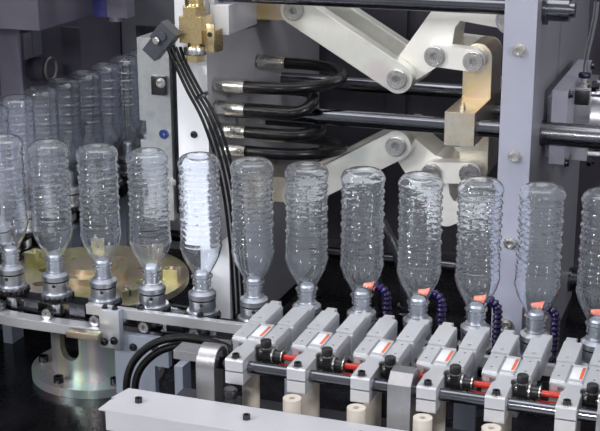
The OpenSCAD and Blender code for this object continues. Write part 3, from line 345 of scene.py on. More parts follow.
BRIGHT_LINK = Finish(
    "bright_milled_steel", ((0.84, 0.82, 0.77), (0.9, 0.89, 0.86)), "bright_links", 0.6, 0.5, 0.1, grain=Grain.ALONG_X,
    relief=0.2,
)
FRONT_LINK = Finish(
    "satin_link_steel", ((0.76, 0.7, 0.7), (0.86, 0.86, 0.8), (0.76, 0.8, 0.79)), "bright_links", 0.8, 0.36, 0.1, 16.0,
    relief=0.2,
)
DARK_CHROME = Finish(
    "dark_chrome", ((0.12, 0.125, 0.15), (0.17, 0.175, 0.2)), "dark_chrome", 1.0, 0.14, 0.04, relief=0.02
)
PINK_ZINC = Finish(
    "pink_zinc", ((0.74, 0.64, 0.34), (0.76, 0.62, 0.46), (0.8, 0.76, 0.64), (0.66, 0.54, 0.44)), "pink_zinc", 1.0,
    0.34, 0.1, 12.0,
)
YELLOW_ZINC = Finish(
    "yellow_zinc", ((0.42, 0.39, 0.18), (0.52, 0.5, 0.28), (0.5, 0.4, 0.32), (0.38, 0.42, 0.29)), "yellow_zinc", 0.9,
    0.36, 0.12, 13.0, relief=0.3,
)
GREEN_ZINC = Finish(
    "green_zinc",
    (
        (0.62, 0.6, 0.44), (0.58, 0.68, 0.6), (0.52, 0.66, 0.67), (0.6, 0.54, 0.62), (0.72, 0.68, 0.54),
        (0.56, 0.68, 0.6),
    ),
    "green_zinc", 0.7, 0.34, 0.08, 20.0, streaks=Grain.ALONG_Z,
)
BLACK_RUBBER = Finish(
    "black_rubber", ((0.003, 0.003, 0.004), (0.007, 0.007, 0.009)), "black_rubber", 0.0, 0.26, relief=0.2,
    edge=0.0, specular=0.3,
)
BRASS = Finish("brass", ((0.66, 0.5, 0.24), (0.76, 0.63, 0.38)), "brass", 1.0, 0.26)
BLACK_PLASTIC = Finish(
    "black_plastic", ((0.01, 0.01, 0.013), (0.018, 0.018, 0.023)), "dark_plastic", 0.0, 0.3, edge=0.0005
)
GREY_PLASTIC = Finish("slate_plastic", ((0.04, 0.045, 0.06), (0.055, 0.06, 0.075)), "dark_plastic", 0.0, 0.4)
BOX_BLUE = Finish("deep_blue_paint", ((0.045, 0.045, 0.2), (0.06, 0.06, 0.26)), "blue_paint", 0.0, 0.4, 0.06)
BLUE_RING = Finish("blue_ring", ((0.008, 0.022, 0.13), (0.012, 0.035, 0.17)), "blue_paint", 0.0, 0.3, 0.06, edge=0.0004)
TURNED_ALUMINIUM = Finish(
    "turned_aluminium", ((0.46, 0.48, 0.54), (0.6, 0.62, 0.67)), "turned_aluminium", 1.0, 0.36, 0.08, 60.0,
    grain=Grain.TURNED, relief=0.2, streaks=Grain.TURNED,
)
SATIN_ALUMINIUM = Finish(
    "satin_aluminium", ((0.62, 0.63, 0.67), (0.7, 0.71, 0.75)), "satin_aluminium", 0.6, 0.4, 0.06, relief=0.1
)
BRUSHED_STRAP = Finish(
    "brushed_strap", ((0.36, 0.36, 0.38), (0.48, 0.48, 0.5)), "satin_aluminium", 1.0, 0.34, 0.1, grain=Grain.ALONG_Z,
    relief=0.15,
)
SLEEVE_STEEL = Finish(
    "sleeve_steel", ((0.13, 0.13, 0.15), (0.19, 0.19, 0.21)), "ground_steel", 1.0, 0.24, grain=Grain.ALONG_X
)
RAIL_ALUMINIUM = Finish(
    "rail_aluminium", ((0.58, 0.59, 0.63), (0.66, 0.67, 0.71)), "satin_aluminium", 0.7, 0.36, grain=Grain.ALONG_X,
    relief=0.1,
)
DARK_STEEL = Finish("dark_steel", ((0.04, 0.04, 0.05), (0.08, 0.08, 0.09)), "dark_steel", 1.0, 0.3, 0.1, edge=0.0005)
BLUE_PAINT = Finish("blue_grey_paint", ((0.34, 0.38, 0.48), (0.4, 0.44, 0.54)), "blue_paint", 0.2, 0.4)
RED_PLASTIC = Finish(
    "red_tube", ((0.52, 0.025, 0.012), (0.62, 0.04, 0.02)), "red_plastic", 0.0, 0.22, 0.05, relief=0.02, edge=0.0
)
CREAM_PLASTIC = Finish("cream_nylon", ((0.56, 0.5, 0.44), (0.64, 0.59, 0.53)), "cream_plastic", 0.0, 0.4)
VIOLET_PLASTIC = Finish(
    "violet_plastic", ((0.004, 0.001, 0.026), (0.008, 0.002, 0.045)), "violet_plastic", 0.0, 0.25, 0.06, edge=0.0
)
ORANGE_PLASTIC = Finish(
    "orange_plastic", ((0.7, 0.12, 0.05), (0.78, 0.17, 0.07)), "red_plastic", 0.0, 0.3, 0.06, edge=0.0
)
CLEAR_BOTTLE = ClearFinish("clear_bottle", (0.92, 0.95, 1.0), "clear_plastic")
PALE_FLOOR = Finish("pale_floor", ((0.8, 0.8, 0.8), (0.83, 0.83, 0.83)), "white_paint", 0.0, 0.6, edge=0.0, glow=0.28)
CLEAR_TUBE = ClearFinish("clear_tube", (0.86, 0.88, 0.92), "clear_plastic", 0.05)

FINISH_NODES: dict[Finish, tuple[str, ...]] = {
    BLACK_PAINT: ("base_frame",),
    GROUND_STEEL: (
        "leveling_feet", "tail_pins", "platen_pins", "upper_link_pins", "lower_link_pins", "crosshead_pins",
        "side_rollers",
    ),
    TABLE_STEEL: ("table_plate",),
    LIGHT_PAINT: ("base_panels", "drive_housing"),
    DARK_PAINT: ("guard_walls", "gripper_base"),
    GREY_PAINT: ("oven_housing",),
    DARK_PLATEN: ("fixed_platen",),
    HOLDER_PAINT: ("fixed_mould_plate",),
    LAVENDER_PAINT: ("tail_platen",),
    DARK_CHROME: ("tie_bars", "guide_rods", "piston_rod", "gripper_shaft"),
    SLEEVE_STEEL: ("guide_sleeves",),
    BARREL_STEEL: ("clamp_cylinder",),
    BRACKET_PAINT: ("cylinder_bracket",),
    WHITE_PAINT: ("moving_platen",),
    MOULD_STEEL: ("moving_mould_plate",),
    PINK_ZINC: ("platen_lugs", "crosshead"),
    NICKEL: ("hose_fittings",),
    BRASS: ("blow_valve",),
    GREY_PLASTIC: ("valve_connector",),
    BRIGHT_LINK: ("rear_link_upper", "rear_link_lower", "crosshead_link_upper", "crosshead_link_lower"),
    FRONT_LINK: ("front_link_upper", "front_link_lower"),
    GREEN_ZINC: ("wheel_housing",),
    YELLOW_ZINC: ("chain_wheel",),
    TURNED_ALUMINIUM: ("mandrels",),
    DARK_STEEL: ("chain_links", "socket_screws", "arm_screws"),
    RAIL_ALUMINIUM: ("chain_rails",),
    BLUE_PAINT: ("rail_brackets",),
    BRUSHED_STRAP: ("shaft_supports",),
    SATIN_ALUMINIUM: ("gripper_arms", "gripper_bodies", "left_fingers", "right_fingers"),
    BLACK_PLASTIC: ("speed_controllers",),
    RED_PLASTIC: ("air_tubes",),
    CREAM_PLASTIC: ("stop_posts",),
    COVER_PAINT: ("cover_plate",),
}


def line_point(x: float, y: float, z: float) -> Vector:
    """Returns a point of the bottle line's frame, given in millimetres, in the machine's frame in metres."""
    return LINE_ORIGIN + Vector((x, y, z)) / 1000


def add_piece(name: str, mesh: bpy.types.Mesh, finish: AnyFinish, body: Body) -> Piece:
    """Puts a mesh in the scene as one piece and reports it.

    Args:
        name: The piece's name.
        mesh: Its mesh, which several pieces may share.
        finish: Its surface finish, used where the mesh has none.
        body: The rigid body that it rides on.

    Returns:
        The new piece.
    """
    piece = bpy.data.objects.new(name, mesh)
    bpy.context.scene.collection.objects.link(piece)
    if not mesh.materials:
        mesh.materials.append(finish.material())
    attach(piece, body.value)
    log.info("%s on %s", name, body.value)
    return piece


def mesh_of(name: str, build: Callable[[BMesh], None], smooth_angle: float = 35.0) -> bpy.types.Mesh:
    """Makes a mesh.

    Args:
        name: The mesh's name.
        build: Function that fills the mesh.
        smooth_angle: Edges sharper than this many degrees stay sharp.

    Returns:
        The new mesh.
    """
    mesh = bpy.data.meshes.new(name)
    bm = bmesh.new()
    build(bm)
    bmesh.ops.recalc_face_normals(bm, faces=bm.faces)
    limit = math.radians(smooth_angle)
    for face in bm.faces:
        face.smooth = True
    for edge in bm.edges:
        edge.smooth = edge.is_manifold and edge.calc_face_angle(0.0) < limit
    bm.to_mesh(mesh)
    bm.free()
    return mesh


def lathe(bm: BMesh, profile: Profile, sides: int, shape: Shape | None = None) -> None:
    """Turns a closed profile of (radius, height) about Z into a mesh.

    Args:
        bm: The mesh to add to.
        profile: The profile's points; a radius of 0 makes a pole.
        sides: Faces round the turn.
        shape: Optional function of radius, height and angle that gives the radius there.
    """
    rings: list[list[bmesh.types.BMVert]] = []
    for radius, height in profile:
        if radius < 1e-6:
            rings.append([bm.verts.new((0, 0, height))])
            continue
        ring = []
        for j in range(sides):
            angle = math.tau * j / sides
            r = shape(radius, height, angle) if shape else radius
            ring.append(bm.verts.new((r * math.cos(angle), r * math.sin(angle), height)))
        rings.append(ring)
    for a, b in zip(rings, rings[1:] + rings[:1]):
        for j in range(sides):
            k = (j + 1) % sides
            corners = [a[j % len(a)], a[k % len(a)], b[k % len(b)], b[j % len(b)]]
            unique = list(dict.fromkeys(corners))
            if len(unique) > 2:
                bm.faces.new(unique)


def settle(bm: BMesh, verts: Sequence[bmesh.types.BMVert], point: Point, axis: Point) -> None:
    """Puts vertices given in millimetres in their place.

    Args:
        bm: Their mesh.
        verts: The vertices.
        point: Where their origin goes, in the bottle line's frame.
        axis: Where their Z axis points.
    """
    turn = Vector(axis).to_track_quat("Z", "Y").to_matrix().to_4x4()
    bmesh.ops.scale(bm, vec=(0.001,) * 3, verts=verts)
    bmesh.ops.transform(bm, matrix=Matrix.Translation(line_point(*point)) @ turn, verts=verts)


@dataclass
class BottleLine:
    """The chain of upside-down bottles on their mandrels. Its sizes are in metres."""

    pitch: float = 0.0856
    run: float = 0.465
    wheel_pitches: int = 14
    first: int = -7
    last: int = 17
    height: float = 0.190
    radius: float = 0.0325
    neck: float = 0.0135
    wall: float = 0.0006
    sides: int = 50
    body_steps: int = 80
    rib_pitch: float = 0.0086
    rib_depth: float = 0.0033
    rib_shift: float = 0.0015
    rib_sharpness: float = 1.4
    ribs_from: float = 0.049
    plain_base: float = 0.013
    cross_from: float = 0.066
    cross_rise: float = 0.02
    swell: float = 0.0009
    swell_pitch: float = 0.0165
    twist: float = 0.7

    def station(self, k: float) -> tuple[Vector, float]:
        """Gives the place of a station.

        Args:
            k: The station's number, 0 under the first gripper and rising towards the wheel.

        Returns:
            The point in the machine's frame and the heading in radians.
        """
        wheel = self.wheel_pitches * self.pitch / math.tau
        s = k * self.pitch
        bend = wheel * math.pi / 2
        if s <= self.run:
            x, y, turn = -s, 0.0, 0.0
        elif s <= self.run + bend:
            turn = (s - self.run) / wheel
            x, y = -self.run - wheel * math.sin(turn), wheel * (1 - math.cos(turn))
        else:
            x, y, turn = -self.run - wheel, wheel + s - self.run - bend, math.pi / 2
        return LINE_ORIGIN + Vector((x, y, 0)), turn

    def outer(self) -> Profile:
        """Returns the outside of a bottle from its mouth up to the middle of its base."""
        r, n, h = self.radius, self.neck, self.height
        thread = (
            (0.0, -0.018), (0.0, -0.0145), (0.0012, -0.0138), (0.0012, -0.0128), (0.0, -0.012), (0.0, -0.009),
            (0.001, -0.0082), (0.001, -0.0072), (0.0, -0.0065), (0.0, -0.0028),
        )
        ring = [(0.0168, -0.0022), (0.017, -0.001), (0.0168, 0.0)]
        shoulder = (
            (0.0, 0.0008), (0.0006, 0.0035), (0.0024, 0.0075), (0.0062, 0.0145), (0.0105, 0.0225), (0.0146, 0.031),
        )
        low, top = 0.048, h - 0.012
        body = [(r - 0.0024, 0.0385), (r - 0.0008, 0.044)]
        body += [(r, low + (top - low) * i / self.body_steps) for i in range(self.body_steps + 1)]
        base = (
            (0.0006, 0.0105), (0.0026, 0.0055), (0.006, 0.0018), (0.0095, 0.0002), (0.012, 0.0006), (0.0148, 0.003),
            (0.019, 0.0058), (0.026, 0.0078), (r, 0.0085),
        )
        points = [(n + out, z) for out, z in thread] + ring + [(n + out, z) for out, z in shoulder] + body
        return points + [(r - inward, h - down) for inward, down in base]

    def wavy(self, radius: float, height: float, angle: float) -> float:
        """Sinks grooves into the body: plain rings low down, and two crossing families above them.

        Args:
            radius: The wall's plain radius.
            height: Height above the support ring.
            angle: Angle round the bottle.

        Returns:
            The radius there.
        """
        low, high = self.ribs_from, self.height - self.plain_base
        if not low < height < high:
            return radius
        fade = min(1.0, (height - low) / 0.006) * min(1.0, (high - height) / 0.008)
        cross = min(1.0, max(0.0, (height - self.cross_from) / self.cross_rise))
        shift = self.rib_shift * cross * math.sin(4 * angle)
        ridge = min(abs(math.sin(math.pi * (height + k * shift) / self.rib_pitch)) for k in (1, -1))
        swell = self.swell * cross * math.cos(math.tau * height / self.swell_pitch)
        groove = (0.5 + 0.5 * cross) * self.rib_depth * (1 - ridge) ** self.rib_sharpness
        return radius - fade * (groove + swell + self.swell)

    def bottle(self, bm: BMesh) -> None:
        """Fills a mesh with one bottle, its outside and its inside."""
        outside = self.outer()
        base = self.height - 0.011
        inside = [(max(0.0, r - self.wall), z - (self.wall if z > base else 0.0)) for r, z in outside[:-1]]
        inside.append((0.0, outside[-1][1] - self.wall))
        lathe(bm, outside + inside[::-1], self.sides, self.wavy)

    def build(self) -> None:
        """Makes a bottle for each station."""
        mesh = mesh_of("bottle", self.bottle, 80.0)
        for k in range(self.first, self.last + 1):
            place, turn = self.station(k)
            piece = add_piece(f"bottle_{k - self.first:02d}", mesh, CLEAR_BOTTLE, Body.MACHINE)
            piece.matrix_world = Matrix.Translation(place) @ Matrix.Rotation(-turn + self.twist * k, 4, "Z")
            piece.visible_shadow = False
        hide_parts("bottles")
        self.dress_mandrels()

    def toothed(self, bm: BMesh) -> None:
        """Fills a mesh with the dark toothed ring under a mandrel's crown."""
        profile = [(0.0236, -0.0690), (0.0262, -0.0690), (0.0262, -0.0625), (0.0252, -0.0618), (0.0236, -0.0618)]
        lathe(bm, profile, 72, lambda r, h, a: r + (0.0022 if r > 0.025 and math.cos(18 * a) > 0 else 0.0))

    def seal(self, bm: BMesh) -> None:
        """Fills a mesh with the dark seal ring in a mandrel's groove."""
        lathe(bm, [(0.0188, -0.0388), (0.0203, -0.0385), (0.0206, -0.0375), (0.0203, -0.0365), (0.0188, -0.0362)], 40)

    def dress_mandrels(self) -> None:
        """Puts the toothed ring and the seal on each mandrel."""
        teeth, seal = mesh_of("crown_teeth", self.toothed), mesh_of("mandrel_seal", self.seal)
        for k in range(self.first, self.last + 1):
            place, turn = self.station(k)
            for name, mesh, finish in (("crown_teeth", teeth, DARK_STEEL), ("mandrel_seal", seal, BLACK_RUBBER)):
                piece = add_piece(f"{name}_{k - self.first:02d}", mesh, finish, Body.MACHINE)
                piece.matrix_world = Matrix.Translation(place) @ Matrix.Rotation(-turn, 4, "Z")


def spaced(points: Sequence[Vector], step: float) -> list[Vector]:
    """Runs a smooth curve through points and returns places along it at even steps.

    Args:
        points: The points in order.
        step: Distance between places, in the points' unit.

    Returns:
        The places, with the curve's two ends.
    """
    fine: list[Vector] = []
    last = len(points) - 1
    for i in range(last):
        a, b, c, d = points[max(i - 1, 0)], points[i], points[i + 1], points[min(i + 2, last)]
        for j in range(CURVE_STEPS):
            t = j / CURVE_STEPS
            fine.append(
                0.5 * (2 * b + (c - a) * t + (2 * a - 5 * b + 4 * c - d) * t * t + (3 * b - a - 3 * c + d) * t**3)
            )
    fine.append(points[last])
    lengths = [0.0]
    for a, b in zip(fine, fine[1:]):
        lengths.append(lengths[-1] + (b - a).length)
    count = max(2, round(lengths[-1] / step))
    places, k = [], 0
    for i in range(count + 1):
        want = lengths[-1] * i / count
        while k < len(lengths) - 2 and lengths[k + 1] < want:
            k += 1
        share = (want - lengths[k]) / max(1e-9, lengths[k + 1] - lengths[k])
        places.append(fine[k].lerp(fine[k + 1], min(1.0, share)))
    return places


def sweep(bm: BMesh, path: Sequence[Vector], radius: Callable[[int], float], sides: int) -> None:
    """Sweeps a round section along a path into a closed tube.

    Args:
        bm: The mesh to add to.
        path: Places along the tube's middle.
        radius: Gives the radius at each place by its number.
        sides: Faces round the tube.
    """
    rings: list[list[bmesh.types.BMVert]] = []
    normal = Vector((0.0, 0.0, 1.0))
    for i, place in enumerate(path):
        ahead = (path[min(i + 1, len(path) - 1)] - path[max(i - 1, 0)]).normalized()
        if i == 0:
            normal = ahead.orthogonal()
        normal = (normal - ahead * normal.dot(ahead)).normalized()
        across = ahead.cross(normal)
        r = radius(i)
        ring = []
        for j in range(sides):
            angle = math.tau * j / sides
            ring.append(bm.verts.new(place + r * (math.cos(angle) * normal + math.sin(angle) * across)))
        rings.append(ring)
    for a, b in zip(rings, rings[1:]):
        for j in range(sides):
            k = (j + 1) % sides
            bm.faces.new((a[j], a[k], b[k], b[j]))
    bm.faces.new(rings[0][::-1])
    bm.faces.new(rings[-1])


@dataclass
class Assembly:
    """Makes pieces for one sub-assembly. Places are in the bottle line's frame, in millimetres."""

    body: Body = Body.MACHINE

    def add(self, name: str, build: Callable[[BMesh], None], finish: AnyFinish, smooth: float = 35.0) -> Piece:
        """Returns a new piece on the assembly's body, with a mesh that `build` fills."""
        return add_piece(name, mesh_of(name, build, smooth), finish, self.body)

    def turned(
        self, name: str, profile: Profile, base: Point, axis: Point, finish: AnyFinish, sides: int = 32,
        shape: Shape | None = None,
    ) -> Piece:
        """Makes a turned piece.

        Args:
            name: The piece's name.
            profile: Its closed profile of (radius, height).
            base: The point of height 0 on its axis.
            axis: The way its height points.
            finish: Its finish.
            sides: Faces round it.
            shape: Optional radius by radius, height and angle.

        Returns:
            The new piece.
        """

        def build(bm: BMesh) -> None:
            """Fills the mesh."""
            lathe(bm, profile, sides, shape)
            settle(bm, bm.verts[:], base, axis)

        return self.add(name, build, finish)

    def block(self, name: str, low: Point, high: Point, finish: Finish, bevel: float = 0.8) -> None:
        """Makes a block with rounded edges.

        Args:
            name: The piece's name.
            low: Its lowest corner.
            high: Its highest corner.
            finish: Its finish.
            bevel: Radius of its edges.
        """
        a, b = Vector(low), Vector(high)
        centre = line_point(*((a + b) / 2))

        def build(bm: BMesh) -> None:
            """Fills the mesh."""
            bmesh.ops.create_cube(bm, size=1.0)
            bmesh.ops.scale(bm, vec=(b - a) / 1000, verts=bm.verts)
            bmesh.ops.bevel(bm, geom=bm.edges[:], offset=bevel / 1000, segments=2, profile=0.5, affect="EDGES")
            bmesh.ops.translate(bm, vec=centre, verts=bm.verts)

        self.add(name, build, finish)

    def tube(
        self, name: str, points: Sequence[Point], radius: float, finish: AnyFinish, replaces: str = "",
        ribs: float = 0.0, pitch: float = 3.0, sides: int = 16,
    ) -> None:
        """Makes a tube along a route.

        Args:
            name: The piece's name.
            points: Points of the route.
            radius: Outer radius.
            finish: Its finish.
            replaces: The CAD node that it stands for, if it does.
            ribs: Depth of its corrugation.
            pitch: Length of one corrugation.
            sides: Faces round it.
        """
        step = pitch / 4 if ribs else 4.0
        path = [line_point(*p) for p in spaced([Vector(p) for p in points], step)]

        def build(bm: BMesh) -> None:
            """Fills the mesh."""
            sweep(bm, path, lambda i: (radius - (ribs if i % 4 in (0, 3) else 0.0)) / 1000, sides)

        piece = self.add(name, build, finish, 25.0 if ribs else 70.0)
        if replaces:
            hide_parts(replaces)

    def screw(self, name: str, head: Point, axis: Point, size: float, finish: Finish) -> None:
        """Makes a socket head on its washer.

        Args:
            name: The piece's name.
            head: Middle of the washer's seat.
            axis: The way the head faces.
            size: The thread's diameter.
            finish: Its finish.
        """
        r = size * 0.8
        profile = [
            (0.0, 0.0), (r * 1.35, 0.0), (r * 1.35, size * 0.15), (r, size * 0.18), (r, size * 0.8),
            (r * 0.9, size * 0.92), (r * 0.56, size * 0.92), (r * 0.5, size * 0.4), (0.0, size * 0.4),
        ]
        self.turned(name, profile, head, axis, finish, 18)


@dataclass
class ToggleClamp(Assembly):
    """Faces of the toggle's pins, which show as discs with a ring groove."""

    mid: float = 180.0
    front: float = 412.7
    head: float = 17.5

    def build(self) -> None:
        """Makes all ten retaining discs, each on the body that its pin rides on."""
        r = self.head
        disc = [
            (8.2, 0), (r - 0.4, 0), (r - 0.4, 0.6), (r - 1.2, 1.4), (r - 4, 1.4), (r - 4.6, 0.7), (r - 5.6, 0.7),
            (r - 6.2, 1.6), (8.2, 1.6),
        ]
        for name, x, rise, upper, lower in (
            ("tail", 208, 169, Body.MACHINE, Body.MACHINE),
            ("platen", -169.9, 169, Body.PLATEN, Body.PLATEN),
            ("knee", 19.05, 59.47, Body.REAR_UPPER, Body.REAR_LOWER),
            ("lug", 84, 103, Body.REAR_UPPER, Body.REAR_LOWER),
            ("crosshead", 151, 98, Body.CROSSHEAD, Body.CROSSHEAD),
        ):
            for side, z, body in (("upper", self.mid + rise, upper), ("lower", self.mid - rise, lower)):
                self.body = body
                self.turned(f"{name}_pin_face_{side}", disc, (x, self.front, z), FRONT, NICKEL, 40)


@dataclass
class PlatenHoses(Assembly):
    """Hydraulic hoses that loop from port to port on the moving platen."""

    body: Body = Body.PLATEN
    face: float = -272.898
    y: float = 300.0
    rows: tuple[float, ...] = (233.0, 193.0, 154.0, 120.0)
    side_y: tuple[float, ...] = (200.0, 60.0, 104.0, 200.0)
    side_z: tuple[float, ...] = (6.0, 28.0, 0.0, -20.0)
    reach: tuple[float, ...] = (93.0, 134.0, 120.0, 93.0)
    start: float = 56.3
    radius: float = 10.4

    def route(self, i: int) -> list[Point]:
        """Returns the middle line of hose i: out, round a half circle in its tilted plane, and back."""
        side = Vector((0, self.side_y[i], self.side_z[i]))
        origin = Vector((self.face, self.y, self.rows[i]))
        half = side.length / 2
        points = [Vector((self.start, 0, 0))]
        for step in range(13):
            a = math.radians(-90 + 15 * step)
            points.append(Vector((self.reach[i] + half * math.cos(a), 0, 0)) + side * (0.5 + 0.5 * math.sin(a)))
        points.append(Vector((self.start, 0, 0)) + side)
        return [tuple(origin + p) for p in points]

    def build(self) -> None:
        """Makes the hoses and the crimped rings of their ends."""
        crimp = [(11.4, 0)]
        for k in range(5):
            crimp += [(12.3, k * 5), (12.3, k * 5 + 3.2), (11.6, k * 5 + 3.6), (11.6, k * 5 + 4.8)]
        crimp.append((11.4, 24.8))
        for i in range(4):
            node = "hydraulic_hoses" if i == 0 else ""
            self.tube(f"platen_hose_{i}", self.route(i), self.radius, BLACK_RUBBER, node, sides=20)
            for end in (0, 1):
                y, z = self.y + end * self.side_y[i], self.rows[i] + end * self.side_z[i]
                self.turned(f"hose_crimp_{i}_{end}", crimp, (self.face + 24, y, z), RIGHT, NICKEL, 28)


@dataclass
class BlowValve(Assembly):
    """Valve corner of the moving platen: cables, connector face, plate and rings."""

    body: Body = Body.PLATEN
    x: float = -280.898
    y: float = 242.0
    cable: float = 2.9

    def cable_route(self, i: int) -> list[Point]:
        """Returns the route of cable i from the connector down to the table."""
        bends = (
            (-46, 6, -12, 306), (-34, 5, -10, 280), (-14, 6, -8, 236), (10, 7, -2, 186), (30, 7, 4, 120),
            (42, 7, 10, 50), (48, 7, 16, -30), (50, 7, 20, -90), (52, 7, 22, -180), (52, 7, 22, -281),
        )
        return [(self.x + dx + i * apart, self.y + dy + i * 4, z) for dx, apart, dy, z in bends]

    def build(self) -> None:
        """Makes the cables, the tie round them and the valve's small pieces."""
        for i in range(4):
            node = "valve_cables" if i == 0 else ""
            self.tube(f"valve_cable_{i}", self.cable_route(i), self.cable, BLACK_RUBBER, node, sides=10)
        tie = [(11.5, -2.4), (13.2, -2.4), (13.2, 2.4), (11.5, 2.4)]
        self.turned("cable_tie", tie, (self.x + 8, self.y + 2, 225), (0.45, 0.1, -1), BLACK_PLASTIC, 24)
        head = [(0, 0), (6, 0), (6, 2.2), (4.8, 3.4), (0, 3.4)]
        self.turned("connector_screw", head, (self.x - 47, self.y - 50, 323), FRONT, NICKEL, 20)
        self.block("valve_plate", (-254, 226, 303), (-240, 232, 349), BRASS, 1)
        hole = [(0, 0), (4.2, 0), (4.2, 1), (3.2, 1.2), (0, 0.4)]
        self.turned("valve_plate_hole", hole, (-247, 226, 332), FRONT, BLACK_PLASTIC, 20)
        ring = [(13.2, -7), (18.5, -7), (19.5, -4.5), (19.5, 4.5), (18.5, 7), (13.2, 7)]
        self.turned("valve_ring", ring, (self.x, self.y, 302), UP, NICKEL, 36)
        barrel = [(14.9, 0)] + [(15.5 - 0.4 * (k % 2), 1 + k * 2) for k in range(18)] + [(14.9, 37)]
        self.turned("valve_barrel_rings", barrel, (self.x, self.y, 377), UP, BRASS)


@dataclass
class MouldFace(Assembly):
    """Small pieces on the front of the moving mould plate."""

    body: Body = Body.PLATEN

    def build(self) -> None:
        """Makes the block, the screws, the ring, the strip in the gap and the box beside the hoses."""
        self.block("mould_block", (-375, 262, 216), (-349, 271.7, 249), BLACK_PLASTIC, 1.2)
        self.screw("mould_block_screw", (-356, 262, 238), FRONT, 8, NICKEL)
        ring = [(3, 0), (8.5, 0), (8.5, 2.2), (7.4, 3.2), (3, 3.2)]
        self.turned("mould_ring", ring, (-358, 271.8, 146), FRONT, BLUE_RING)
        self.screw("mould_screw", (-345, 271.8, 60), FRONT, 7, NICKEL)
        self.screw("platen_screw", (-300, 269.8, 150), FRONT, 6, DARK_STEEL)
        self.block("mould_gap_strip", (-343.5, 284, 0), (-330.3, 291.7, 300), BLACK_PLASTIC, 0.6)
        self.block("port_box", (-272.7, 286, 322), (-238, 416, 372), WHITE_PAINT, 1.5)
        self.block("port_box_foot", (-272.7, 290, 300), (-262, 330, 321.8), WHITE_PAINT, 1)


@dataclass
class ClampEnd(Assembly):
    """Screws and fittings of the tail platen, the bracket, the cylinder and the fixed side."""

    def build(self) -> None:
        """Makes the screws and nuts, the fixed side's end and ring, and the clear tube on its fitting."""
        for i, z in enumerate((163, 20, 330, -120)):
            self.screw(f"tail_screw_{i}", (257, 249.9, z), FRONT, 10, NICKEL)
        self.block("valve_box_end", (-592.6, 468.8, 310.2), (-563, 501.2, 381.8), BOX_BLUE, 1)
        ring = [(17.1, 0), (24, 0), (24.6, 0.8), (24.6, 2.4), (23.6, 3.2), (18, 3.2), (17.1, 2.4)]
        self.turned("ejector_ring", ring, (-697.6, 478, 202), RIGHT, NICKEL, 40)
        nut = [(0, 0), (9.5, 0), (9.5, 6.5), (8.4, 7.6), (5.4, 7.6), (5, 12), (0, 12.5)]
        for i, (y, z) in enumerate(((441, 116), (545, 116), (441, 244), (545, 244))):
            self.turned(f"cylinder_nut_{i}", nut, (347, y, z), RIGHT, DARK_STEEL, 6)
        for i, (y, z) in enumerate(((362, 130), (362, 244), (624, 130), (624, 244))):
            self.screw(f"bracket_screw_{i}", (321, y, z), RIGHT, 7, DARK_STEEL)
        self.block("cylinder_port_block", (322, 425, 214), (345, 431.2, 238), BLACK_PLASTIC, 1.5)
        seat = [(0, 0), (9, 0), (9, 6), (6.5, 8), (6.5, 16), (0, 16)]
        self.turned("tube_seat", seat, (334, 440, 241.5), UP, NICKEL, 28)
        ring = [(4.2, 0), (9.6, 0), (10.4, 1.6), (10.4, 6.4), (9.6, 8), (4.2, 8)]
        self.turned("tube_ring", ring, (334, 440, 257.5), UP, VIOLET_PLASTIC, 28)
        rise = ((334, 258), (334, 275), (336, 300), (341, 330), (345, 360), (346, 384))
        self.tube("clear_air_tube", [(x, 440, z) for x, z in rise], 4, CLEAR_TUBE)


